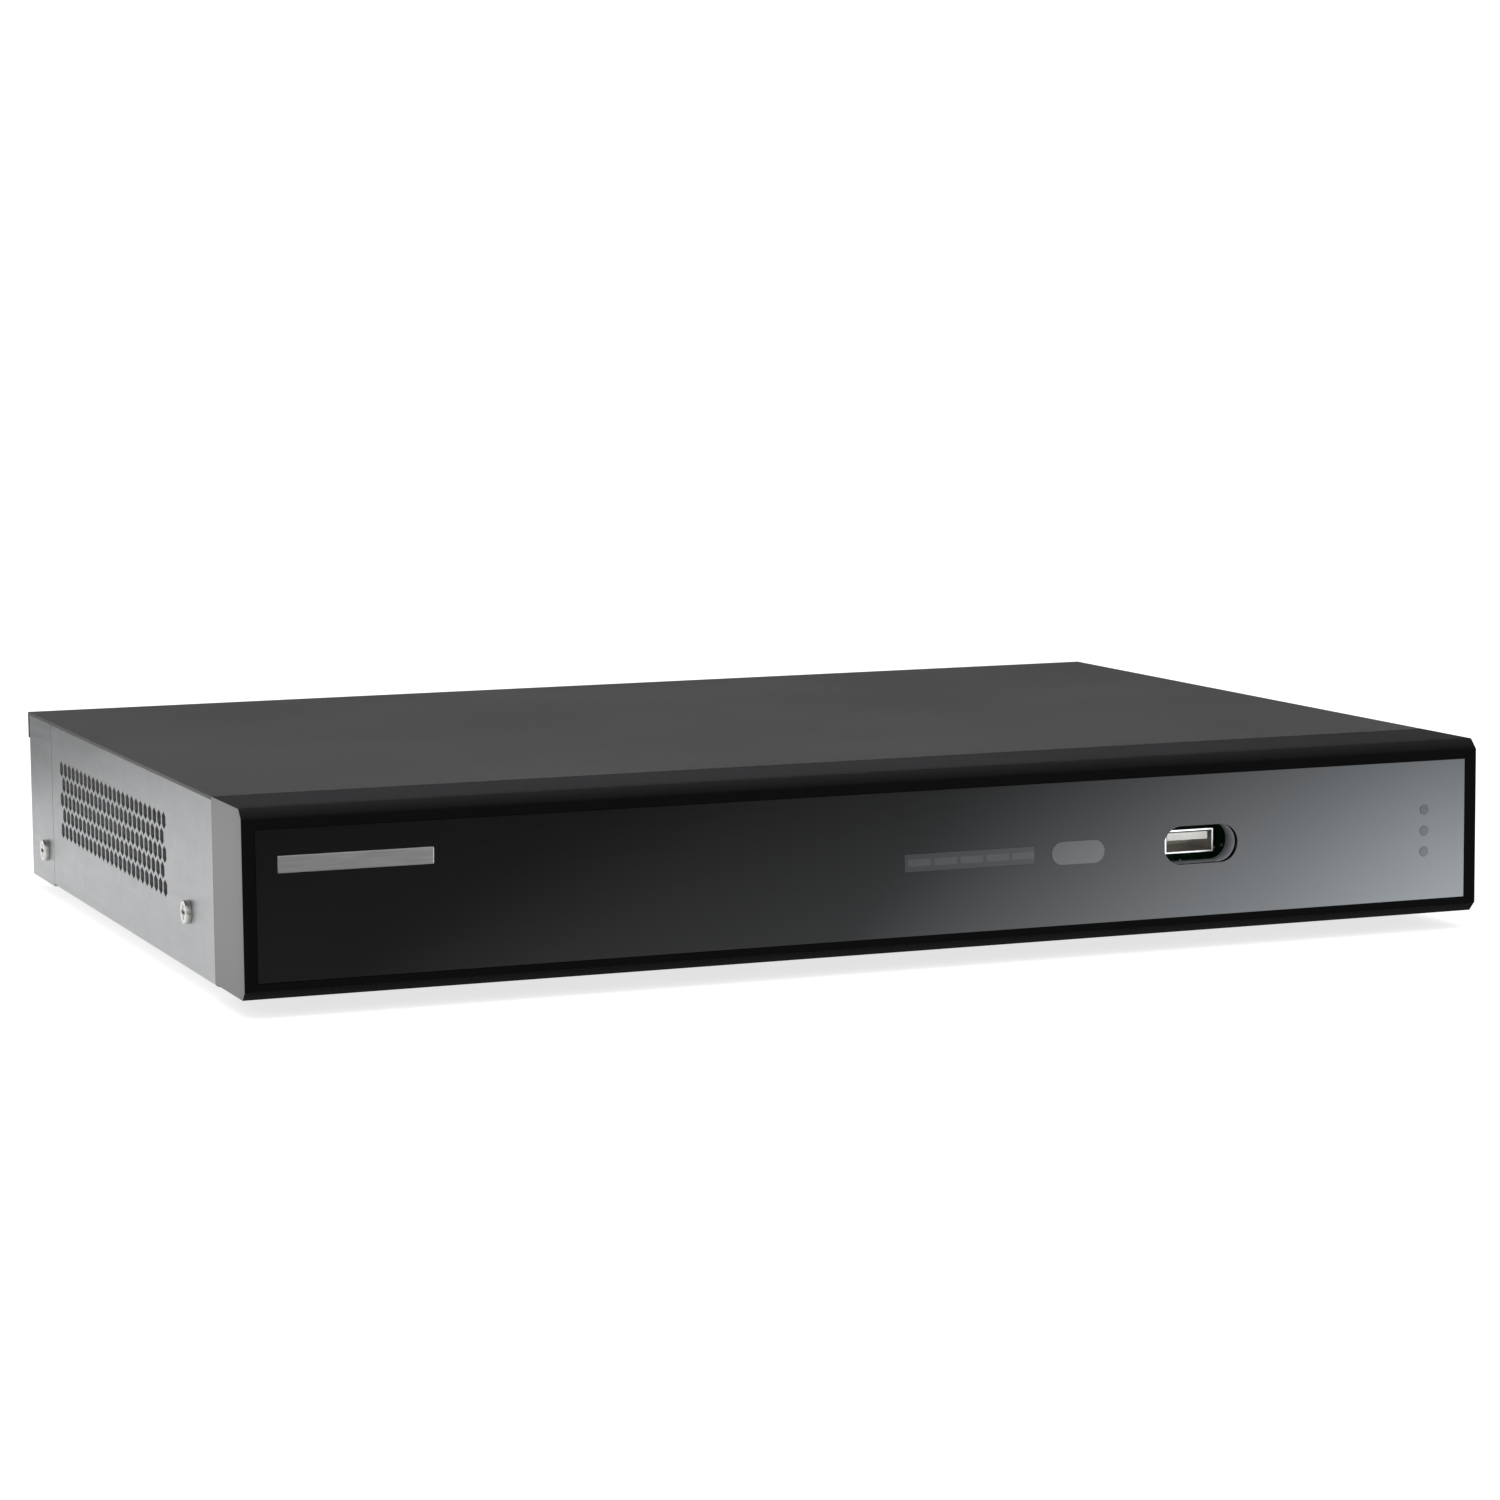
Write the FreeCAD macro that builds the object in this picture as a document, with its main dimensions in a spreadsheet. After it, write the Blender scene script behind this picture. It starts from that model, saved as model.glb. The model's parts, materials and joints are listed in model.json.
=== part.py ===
import FreeCAD, Part
import math
import os
import re

import Sketcher
from FreeCAD import Placement, Rotation, Vector

# A compact digital video recorder for wired security cameras: a folded steel case with a moulded
# front, a hard drive, a main board that carries the rear sockets, and a small front board.
#
# Frame, in millimetres: X runs across the case (+X is the viewer's right from the front), Y runs
# from the front (-Y) to the rear (+Y), Z is up. The origin is on the standing surface, under the
# middle of the box that the whole recorder fills.

OUT = "parts"
TINY = 1e-6

# ---------------------------------------------------------------------------------------------
# Driving dimensions: (alias, millimetres, what it is). They become the cells of the sheet.
# ---------------------------------------------------------------------------------------------
SIZES = (
    # case
    ("case_width", 315.0, "outer width of the case"),
    ("case_depth", 226.0, "front face to the rear panel's outer face"),
    ("case_height", 44.0, "underside of the tray to the top of the lid"),
    ("gauge", 0.8, "sheet steel thickness"),
    ("bend", 1.2, "outside radius of a sheet bend"),
    ("seam", 0.3, "gap between two sheet parts or mouldings"),
    ("slip", 0.05, "radial clearance of a running or screwed fit"),
    ("lid_flange", 8.0, "width of the flange that the lid rests on"),
    ("lip_gap", 0.7, "lid's rear lip above the video sockets"),
    ("lid_lip", 6.0, "height of the lid's inner stiffening lips"),
    ("tongue", 6.0, "length of the lid's front tongue under the bezel"),
    ("return_depth", 28.0, "length of the rear panel's side returns"),
    ("return_screw", 20.0, "return screw from the rear face"),
    ("return_screw_rise", 8.8, "return screw above the underside"),
    ("arm_screw", 50.0, "front side screw from the front face"),
    ("arm_screw_rise", 14.2, "front side screw above the underside"),
    # side vent field
    ("vent_start", 73.0, "first vent from the front face"),
    ("vent_rise", 16.6, "lowest vent row above the underside"),
    ("vent_flats", 3.7, "vent hexagon across its flats"),
    ("vent_web", 1.0, "metal between two vents"),
    # feet
    ("foot_height", 3.5, "foot below the tray"),
    ("foot_radius", 9.0, "radius of a foot"),
    ("foot_well", 1.6, "depth of the screw's well in a foot"),
    ("foot_inset_x", 25.0, "foot centre from the side"),
    ("foot_inset_front", 42.0, "front foot centre from the front face"),
    ("foot_inset_rear", 26.0, "rear foot centre from the rear face"),
    # bezel and fascia
    ("bezel_depth", 26.7, "front face to the tray"),
    ("bezel_lift", 0.8, "bezel's underside above the tray's"),
    ("bezel_wall", 2.0, "bezel wall"),
    ("bezel_face", 3.2, "bezel front wall"),
    ("bezel_chamfer", 2.4, "chamfer along the bezel's front edges"),
    ("fascia_border", 4.6, "bezel face above and below the fascia"),
    ("fascia_cheek", 3.0, "bezel face at each end of the fascia"),
    ("fascia_seat", 1.7, "depth of the fascia's seat"),
    ("fascia_sink", 0.2, "fascia behind the bezel's face"),
    ("plate_x", -131.2, "nameplate centre from the middle"),
    ("plate_rise", 31.3, "nameplate centre above the underside"),
    ("plate_length", 36.4, "nameplate length"),
    ("plate_tall", 4.0, "nameplate height"),
    ("legend_x", 19.6, "legend strip centre from the middle"),
    ("legend_length", 33.8, "legend strip length"),
    ("legend_tall", 4.2, "legend strip height"),
    ("window_x", 48.0, "remote control window centre from the middle"),
    ("window_length", 14.0, "remote control window length"),
    ("window_tall", 5.6, "remote control window height"),
    ("front_line", 22.2, "centre line of the front features above the underside"),
    ("port_x", 81.0, "front port opening centre from the middle"),
    ("port_length", 20.0, "front port opening length"),
    ("port_tall", 9.4, "front port opening height"),
    ("port_sink", 6.5, "front socket's mouth behind the face"),
    ("port_wall", 1.2, "wall of the tunnel behind the port opening"),
    ("light_x", 143.0, "status lights from the middle"),
    ("light_rise", 16.7, "lowest status light above the underside"),
    ("light_pitch", 5.2, "status light pitch"),
    ("light_radius", 1.2, "light pipe radius"),
    # boards
    ("board_thick", 1.6, "circuit board thickness"),
    ("board_depth", 78.0, "main board, front to rear"),
    ("board_side", 9.0, "main board's edge from the case side"),
    ("board_gap", 1.0, "main board from the rear panel"),
    ("standoff", 5.0, "main board above the tray"),
    ("front_board_left", 36.0, "front board's left edge from the middle"),
    ("front_board_end", 5.5, "front board's right edge from the case side"),
    ("front_board_low", 7.0, "front board's lower edge above the underside"),
    ("front_board_tall", 30.0, "front board height"),
    # screws
    ("screw_radius", 1.5, "screw shank"),
    ("hole_ease", 0.2, "radial clearance of a screw's hole"),
    ("head_radius", 2.8, "screw head radius"),
    ("head_height", 1.5, "screw head height"),
    # standard sockets
    ("usb_width", 13.1, "bus socket shell, width"),
    ("usb_tall", 5.7, "bus socket shell, height"),
    ("usb_length", 15.0, "bus socket shell, length"),
    ("usb_wall", 0.35, "bus socket shell, wall"),
    ("barrel_reach", 14.0, "video barrel beyond the rear panel"),
    ("barrel_radius", 4.8, "video barrel outer radius"),
    ("barrel_wall", 0.75, "video barrel wall"),
    ("barrel_root", 6.2, "video barrel root radius"),
    ("barrel_inset", 17.0, "first video column from the case side"),
    ("barrel_pitch", 15.5, "video column and row pitch"),
    ("barrel_rise", 7.2, "lower video row above the board"),
    ("lug_back", 4.8, "bayonet lugs behind the barrel's mouth"),
    ("lug_radius", 1.0, "bayonet lug radius"),
    ("lug_reach", 0.9, "bayonet lug beyond the barrel's wall"),
    ("audio_inset", 79.5, "audio sockets from the right side"),
    ("monitor_inset", 104.5, "monitor socket from the right side"),
    ("monitor_nut", 12.5, "monitor socket's nuts from its centre"),
    ("display_inset", 130.5, "digital display socket from the right side"),
    ("usb_inset", 147.5, "rear bus socket from the right side"),
    ("network_inset", 165.5, "network socket from the right side"),
    ("ground_inset", 20.0, "ground screw from the left side"),
    ("switch_inset", 42.0, "power switch from the left side"),
    ("supply_inset", 63.0, "supply socket from the left side"),
    ("terminal_inset", 80.0, "terminal block from the left side"),
    ("terminal_pitch", 3.81, "terminal pitch"),
    ("rear_vent_inset", 97.0, "first rear slot from the left side"),
    # power switch
    ("rocker_tall", 4.3, "rocker half height"),
    ("rocker_half", 5.0, "rocker half width along its pivot"),
    ("rocker_pin", 1.2, "rocker pivot stub radius"),
    ("rocker_tilt", 9.0, "rocker tilt in degrees at rest"),
    # hard drive
    ("drive_length", 147.0, "drive length"),
    ("drive_width", 101.6, "drive width"),
    ("drive_tall", 26.1, "drive height"),
    ("drive_lift", 3.0, "drive above the tray"),
    ("drive_inset", 8.0, "drive from the case side"),
    ("drive_setback", 2.5, "drive behind the tray's front wall"),
    ("drive_screw_rail", 3.2, "drive screw from the drive's long edge"),
    ("drive_screw_first", 30.0, "first drive screw from the drive's end"),
    ("drive_screw_gap", 76.2, "drive screws apart"),
    ("emboss_radius", 5.5, "tray emboss under a drive screw"),
    ("disc_radius", 47.5, "recording disc radius"),
    ("disc_thick", 1.27, "recording disc thickness"),
    ("disc_gap", 4.2, "disc to disc, top to top"),
    ("spindle_x", 51.5, "spindle from the drive's end"),
    ("pivot_x", 64.0, "arm pivot from the spindle, along the drive"),
    ("pivot_y", -20.0, "arm pivot from the spindle, across the drive"),
    ("arm_length", 52.0, "arm pivot to head"),
    ("arm_thick", 0.9, "arm blade thickness"),
    ("park_angle", 112.7, "arm's direction at rest, in degrees"),
    # cooling
    ("sink_size", 40.0, "heat sink and fan side"),
    ("sink_tall", 9.0, "heat sink height"),
    ("sink_x", 62.0, "heat sink centre from the middle"),
    ("sink_y", 27.0, "heat sink centre from the board's front edge"),
    ("chip_tall", 1.4, "chip height"),
    ("ribbon_x", 100.0, "front board's ribbon from the middle"),
    ("ribbon_width", 20.0, "front board's ribbon width"),
    ("data_x", 34.0, "data header from the middle"),
    ("power_x", 20.0, "drive power header from the middle"),
    ("fan_tall", 10.0, "fan height"),
    ("fan_bore", 18.9, "fan bore radius"),
    ("fan_hub", 8.0, "fan hub radius"),
    ("fan_pin", 1.0, "fan shaft radius"),
    ("blade_reach", 17.6, "fan blade tip from the shaft"),
)
ALIASES = {alias for alias, _, _ in SIZES}

# Places worked out from the sizes: each is a formula in size names and earlier places.
PLACES = {
    "front": "-(case_depth + barrel_reach) / 2",
    "rear": "front + case_depth",
    "side": "case_width / 2",
    "under": "foot_height",
    "deck": "under + gauge",
    "roof": "under + case_height",
    "sill": "roof - gauge",
    "chassis": "front + bezel_depth",
    "wall_end": "rear - return_depth - seam",
    "inside": "rear - gauge - 0.2",
    "line": "under + front_line",
    "fascia_low": "under + fascia_border",
    "fascia_high": "roof - fascia_border",
    "fascia_face": "front + fascia_sink",
    "board_low": "deck + standoff",
    "board_top": "board_low + board_thick",
    "board_rear": "rear - gauge - board_gap",
    "board_front": "board_rear - board_depth",
    "board_half": "side - board_side",
    "port_mouth": "front + port_sink",
    "front_board_near": "port_mouth + usb_length",
    "front_board_far": "front_board_near + board_thick",
    "arm_screw_y": "front + arm_screw",
    "arm_screw_z": "under + arm_screw_rise",
    "return_screw_y": "rear - return_screw",
    "return_screw_z": "under + return_screw_rise",
    "tapped": "screw_radius + slip / 2",
    "screw_hole": "screw_radius + hole_ease",
    "barrel_bore": "barrel_radius - barrel_wall",
    "drive_left": "drive_inset - side",
    "drive_right": "drive_left + drive_length",
    "drive_near": "chassis + gauge + drive_setback",
    "drive_far": "drive_near + drive_width",
    "drive_low": "deck + drive_lift",
    "drive_high": "drive_low + drive_tall",
    "spindle": "drive_left + spindle_x",
    "drive_mid": "drive_near + drive_width / 2",
    "pivot": "spindle + pivot_x",
    "pivot_mid": "drive_mid + pivot_y",
    "cavity_low": "drive_low + 8",
    "lower_disc": "cavity_low + 4",
    "upper_disc": "lower_disc + disc_gap",
    "video_low": "board_top + barrel_rise",
    "video_high": "video_low + barrel_pitch",
    "lip_height": "roof - video_high - barrel_root - lip_gap",
    "audio_x": "side - audio_inset",
    "audio_low": "board_top + 7.5",
    "audio_high": "audio_low + 13",
    "monitor_x": "side - monitor_inset",
    "monitor_z": "board_top + 6.6",
    "display_x": "side - display_inset",
    "display_z": "board_top + 3",
    "usb_x": "side - usb_inset",
    "usb_z": "board_top + usb_tall / 2",
    "network_x": "side - network_inset",
    "ground_x": "ground_inset - side",
    "ground_z": "under + 12",
    "switch_x": "switch_inset - side",
    "switch_z": "under + 22",
    "switch_pivot": "rear - 4",
    "supply_x": "supply_inset - side",
    "supply_z": "board_top + 5.5",
    "terminal_x": "terminal_inset - side",
    "chip_top": "board_top + chip_tall",
    "sink_mid": "board_front + sink_y",
    "sink_top": "chip_top + sink_tall",
    "fan_top": "sink_top + fan_tall",
    "lead_z": "board_top + 3",
    "data_y": "drive_mid",
    "power_y": "drive_mid + 22",
    "plug_end": "drive_right + 13",
}

doc = FreeCAD.newDocument("video_recorder")
sheet = doc.addObject("Spreadsheet::Sheet", "sizes")
for row, (alias, size, note) in enumerate(SIZES, start=1):
    sheet.set(f"A{row}", alias)
    sheet.set(f"B{row}", str(size))
    sheet.set(f"C{row}", note)
    sheet.setAlias(f"B{row}", alias)
doc.recompute()


# ---------------------------------------------------------------------------------------------
# Short forms for the document's objects. Every size is a formula on the sheet.
# ---------------------------------------------------------------------------------------------
def formula(text):
    """Writes out the places in a formula and points each size name at its cell."""

    def swap(match):
        word = match.group(0)
        if word in PLACES:
            return f"({formula(PLACES[word])})"
        return f"sizes.{word}" if word in ALIASES else word

    return re.sub(r"[A-Za-z_][A-Za-z_0-9]*", swap, str(text))


def value(text):
    """A formula's value now."""
    return float(sheet.evalExpression(formula(text)))


def about(centre, half):
    """The span of a piece that reaches half to each side of a centre."""
    return f"({centre}) - ({half})", f"({centre}) + ({half})"


TURNS = {"x": Rotation(Vector(0, 1, 0), 90), "y": Rotation(Vector(1, 0, 0), -90), "z": Rotation()}


def block(x, y, z):
    """A box between (low, high) on each axis."""
    piece = doc.addObject("Part::Box", "Block")
    for size, axis, (low, high) in zip(("Length", "Width", "Height"), "xyz", (x, y, z)):
        piece.setExpression(size, formula(f"({high}) - ({low})"))
        piece.setExpression(f"Placement.Base.{axis}", formula(low))
    return piece


def _along(piece, axis, span, centre):
    """Stands a piece that grows along its own Z on span's low end, along axis."""
    piece.Placement = Placement(Vector(), TURNS[axis])
    piece.setExpression("Height", formula(f"({span[1]}) - ({span[0]})"))
    places = dict(zip([a for a in "xyz" if a != axis], centre))
    places[axis] = span[0]
    for name, place in places.items():
        piece.setExpression(f"Placement.Base.{name}", formula(place))
    return piece


def rod(axis, radius, span, centre):
    """A cylinder along an axis. centre is its place on the two other axes, in X, Y, Z order."""
    piece = doc.addObject("Part::Cylinder", "Rod")
    piece.setExpression("Radius", formula(radius))
    return _along(piece, axis, span, centre)


def cone(axis, radii, span, centre):
    """A cone along an axis, with its radius at the low and at the high end."""
    piece = doc.addObject("Part::Cone", "Cone")
    piece.setExpression("Radius1", formula(radii[0]))
    piece.setExpression("Radius2", formula(radii[1]))
    return _along(piece, axis, span, centre)


def hexagon(axis, flats, span, centre):
    """A six-sided prism along an axis, by its size across flats."""
    piece = doc.addObject("Part::Prism", "Hexagon")
    piece.Polygon = 6
    piece.setExpression("Circumradius", formula(f"({flats}) / (2 * cos(30))"))
    return _along(piece, axis, span, centre)


def fuse(*pieces):
    """One solid from pieces that overlap or touch."""
    joined = doc.addObject("Part::MultiFuse", "Fuse")
    joined.Shapes = list(pieces)
    joined.Refine = True
    return joined


def group(*pieces):
    """Separate solids that are kept together."""
    kept = doc.addObject("Part::Compound", "Group")
    kept.Links = list(pieces)
    return kept


def cut(base, *tools):
    """The base less its tools. Tools that overlap each other are fused first."""
    left = doc.addObject("Part::Cut", "Cut")
    left.Base = base
    left.Tool = tools[0] if len(tools) == 1 else fuse(*tools)
    left.Refine = True
    return left


def common(first, second):
    """What two pieces share."""
    shared = doc.addObject("Part::Common", "Common")
    shared.Base, shared.Tool = first, second
    return shared


def tube(axis, outer, inner, span, centre):
    """A cylinder with a bore right through."""
    bore = about(f"({span[0]} + {span[1]}) / 2", f"({span[1]} - ({span[0]})) / 2 + 1")
    return cut(rod(axis, outer, span, centre), rod(axis, inner, bore, centre))


def obround(length, tall, y, x, z):
    """A flat-sided bar with round ends, lying along X, between two planes on Y."""
    end, half = f"(({length}) - ({tall})) / 2", f"({tall}) / 2"
    ends = [rod("y", half, y, (f"{x} {sign} {end}", z)) for sign in "+-"]
    return fuse(block(about(x, end), y, about(z, half)), *ends)


def screw(axis, facing, seat, centre, length, head="head_radius", shank="screw_radius"):
    """A cross-head screw whose head stands on the plane seat. facing is + or -, the way it looks."""
    other = "-" if facing == "+" else "+"
    spans = (seat, f"{seat} {facing} head_height"), (f"{seat} {other} {length}", seat)
    spans = [s if facing == "+" else s[::-1] for s in spans]
    body = fuse(rod(axis, head, spans[0], centre), rod(axis, shank, spans[1], centre))
    deep = (f"{seat} {facing} head_height / 3", f"{seat} {facing} (head_height + 1)")
    deep = deep if facing == "+" else deep[::-1]
    slots = []
    for long_way, short_way in ((0.62, 0.14), (0.14, 0.62)):
        spread = [about(c, f"{head} * {s}") for c, s in zip(centre, (long_way, short_way))]
        spread.insert("xyz".index(axis), deep)
        slots.append(block(*spread))
    return cut(body, *slots)


# PartDesign bodies: pads and pockets from sketches on the body's own planes. A plane's name says
# which two axes its sketch draws on, and turned is True where the plane looks along minus.
PLANES = {"XY": ("XY_Plane", False), "YZ": ("YZ_Plane", False), "XZ": ("XZ_Plane", True)}


def new_body(name):
    return doc.addObject("PartDesign::Body", name)


def box(x, y):
    """The corners of a rectangle."""
    return [(x[0], y[0]), (x[1], y[0]), (x[1], y[1]), (x[0], y[1])]


def _outline(drawing, loop):
    """Draws a polygon of (x, y) formulas, or a circle given as (x, y, radius)."""
    first = drawing.GeometryCount
    if isinstance(loop, tuple):
        x, y, radius = (value(part) for part in loop)
        drawing.addGeometry(Part.Circle(Vector(x, y, 0), Vector(0, 0, 1), radius), False)
        size = drawing.addConstraint(Sketcher.Constraint("Radius", first, radius))
        drawing.setExpression(f"Constraints[{size}]", formula(loop[2]))
        points = [(first, 3, loop[0], loop[1])]
    else:
        corners = [Vector(value(x), value(y), 0) for x, y in loop]
        lines = [Part.LineSegment(a, b) for a, b in zip(corners, corners[1:] + corners[:1])]
        drawing.addGeometry(lines, False)
        for k in range(len(loop)):
            after = first + (k + 1) % len(loop)
            drawing.addConstraint(Sketcher.Constraint("Coincident", first + k, 2, after, 1))
        points = [(first + k, 1, x, y) for k, (x, y) in enumerate(loop)]
    for line, end, *places in points:
        for kind, place in zip(("DistanceX", "DistanceY"), places):
            where = Sketcher.Constraint(kind, -1, 1, line, end, value(place))
            size = drawing.addConstraint(where)
            drawing.setExpression(f"Constraints[{size}]", formula(place))


def _sketch(body, plane, offset, loops):
    role, _ = PLANES[plane]
    drawing = body.newObject("Sketcher::SketchObject", "Sketch")
    own = next(f for f in body.Origin.OriginFeatures if f.Role == role)
    drawing.AttachmentSupport = [(own, "")]
    drawing.MapMode = "FlatFace"
    drawing.setExpression("AttachmentOffset.Base.z", formula(offset))
    for loop in loops:
        _outline(drawing, loop)
    return drawing


def _feature(body, kind, plane, span, loops):
    before = body.Shape.Volume if body.Group else 0.0
    low, high = span
    turned = PLANES[plane][1]
    start = {"Pad": (low, f"-({high})"), "Pocket": (high, f"-({low})")}[kind][turned]
    feature = body.newObject(f"PartDesign::{kind}", kind)
    feature.Profile = _sketch(body, plane, start, loops)
    feature.setExpression("Length", formula(f"({high}) - ({low})"))
    doc.recompute()
    change = body.Shape.Volume - before
    if (change > TINY) != (kind == "Pad") or abs(change) < TINY:
        raise ValueError(f"{body.Label}: a {kind} changed the volume by {change}")
    return feature


def pad(body, plane, span, *loops):
    """Adds loops drawn on a plane, between two places on the third axis."""
    return _feature(body, "Pad", plane, span, loops)


def pocket(body, plane, span, *loops):
    """Removes loops drawn on a plane, between two places on the third axis."""
    return _feature(body, "Pocket", plane, span, loops)


def dress(body, kind, size, keep):
    """A Fillet or Chamfer of a size on the edges that keep(edge's box) picks."""
    base = body.Tip
    names = [f"Edge{k}" for k, edge in enumerate(base.Shape.Edges, 1) if keep(edge.BoundBox)]
    if not names:
        raise ValueError(f"{body.Label}: no edge to {kind.lower()}")
    feature = body.newObject(f"PartDesign::{kind}", kind)
    feature.Base = (base, names)
    feature.setExpression("Radius" if kind == "Fillet" else "Size", formula(size))
    body.Tip = feature
    doc.recompute()
    return feature


def flat(low, high, place):
    """True where both ends of an edge's box are at a place."""
    return abs(low - place) < 1e-4 and abs(high - place) < 1e-4


SUB_PARTS = []


def sub_part(name, piece):
    """Names a finished piece, which then gets a file of its own."""
    piece.Label = name
    SUB_PARTS.append(piece)
    return piece


# ---------------------------------------------------------------------------------------------
# Case
# ---------------------------------------------------------------------------------------------
ARM = ("arm_screw_z - 5", "arm_screw_z + 5")
ARM_OUTER = "side - gauge - 0.15"
TAB_OUTER = "side - gauge - seam / 2"
TAB_INNER = "side - 2 * gauge - seam / 2"
DRIVE_SCREWS = [
    (f"drive_left + drive_screw_first{along}", place)
    for along in ("", " + drive_screw_gap")
    for place in ("drive_near + drive_screw_rail", "drive_far - drive_screw_rail")
]
BOARD_SCREWS = [
    (x, y)
    for x in ("4 - board_half", "-1", "board_half - 4")
    for y in ("board_front + 4", "board_rear - 23")
]
FOOT_SPOTS = [
    (x, y)
    for x in ("foot_inset_x - side", "side - foot_inset_x")
    for y in ("front + foot_inset_front", "rear - foot_inset_rear")
]
LIP_SCREWS = [(x, "roof - lip_height / 2 - 0.1") for x in ("30 - side", "0", "side - 30")]


def vent_field(body):
    """Rows of hexagons through both side walls, every other row half a step along."""
    step = "(vent_flats + vent_web)"
    rise = f"({step} * cos(30))"
    columns = f"floor((case_depth - return_depth - 12 - vent_start) / {step}) + 1"
    flat_end, tip = "vent_flats / 2 * tan(30)", "vent_flats / 2 / cos(30)"
    for shift, rows, fewer in ((0, 3, 0), (1, 2, 1)):
        y = f"(front + vent_start + {shift} * {step} / 2)"
        z = f"(under + vent_rise + {shift} * {rise})"
        corners = [(f"{y} {a} vent_flats / 2", f"{z} {b} {flat_end}") for a, b in ("--", "+-", "++", "-+")]
        corners.insert(1, (y, f"{z} - {tip}"))
        corners.insert(4, (y, f"{z} + {tip}"))
        hole = pocket(body, "YZ", about("0", "side + 1"), corners)
        rows_of = body.newObject("PartDesign::LinearPattern", "Vents")
        rows_of.Originals = [hole]
        rows_of.Direction = (hole.Profile[0], ["H_Axis"])
        rows_of.setExpression("Occurrences", formula(f"{columns} - {fewer}"))
        rows_of.setExpression("Length", formula(f"({columns} - 1 - {fewer}) * {step}"))
        rows_of.Direction2 = (hole.Profile[0], ["V_Axis"])
        rows_of.Occurrences2 = rows
        rows_of.setExpression("Length2", formula(f"({rows} - 1) * 2 * {rise}"))
        rows_of.Refine = False
        body.Tip = rows_of
        doc.recompute()


def base_tray():
    body = new_body("Tray")
    wall, low_flange = "(side - gauge)", "sill - gauge"
    shelf = "(side - lid_flange)"
    profile = [("side", "under"), ("side", "sill"), (shelf, "sill"), (shelf, low_flange)]
    profile += [(wall, low_flange), (wall, "deck")]
    mirrored = [(f"-({x})", z) for x, z in reversed(profile)]
    pad(body, "XZ", ("chassis", "wall_end"), profile + mirrored)
    pad(body, "XY", ("under", "deck"), box(about("0", TAB_OUTER), ("wall_end - 1", "inside")))
    front_wall = box(about("0", shelf), ("deck - gauge / 2", "roof - bezel_wall - 2 * gauge - seam"))
    pad(body, "XZ", ("chassis", "chassis + gauge"), front_wall)
    ribbon_way = box(about("ribbon_x", "ribbon_width / 2 + 6"), ("deck + 9", "deck + 27"))
    pocket(body, "XZ", ("chassis - 1", "chassis + gauge + 1"), ribbon_way)
    for sign in "-+":
        tab = (f"{sign}({TAB_OUTER})", f"{sign}({TAB_INNER})")
        pad(body, "XZ", about("return_screw_y", "8"), box(tab, ("deck - gauge / 2", "return_screw_z + 6")))
    for x, y in DRIVE_SCREWS:
        pad(body, "XY", ("deck - gauge / 2", "drive_low"), (x, y, "emboss_radius"))
        pocket(body, "XY", ("under - 1", "drive_low - gauge"), (x, y, "emboss_radius - gauge"))
        pocket(body, "XY", ("under - 1", "drive_low + 1"), (x, y, "screw_hole"))
    for spots, size in ((BOARD_SCREWS, "screw_hole"), (FOOT_SPOTS, "tapped")):
        for x, y in spots:
            pocket(body, "XY", ("under - 1", "deck + 1"), (x, y, size))
    slot = box(about("-70", "1.5"), about("board_front + 34", "14"))
    floor_vent = pocket(body, "XY", ("under - 1", "deck + 1"), slot)
    row = body.newObject("PartDesign::LinearPattern", "FloorVents")
    row.Originals = [floor_vent]
    row.Direction = (floor_vent.Profile[0], ["H_Axis"])
    row.Occurrences = 12
    row.setExpression("Length", formula("11 * 6"))
    body.Tip = row
    doc.recompute()
    both = about("0", "side + 1")
    pocket(body, "YZ", both, ("arm_screw_y", "arm_screw_z", "screw_hole"))
    pocket(body, "YZ", about("0", "side - gauge - seam / 4"), ("return_screw_y", "return_screw_z", "tapped"))
    side = value("side")
    low = value("under")

    def outer_bend(b):
        return flat(b.ZMin, b.ZMax, low) and abs(abs(b.XMin) - side) < 1e-4 and flat(b.XMin, b.XMax, b.XMin)

    dress(body, "Fillet", "bend", outer_bend)
    vent_field(body)
    return sub_part("base_tray", body)


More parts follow.
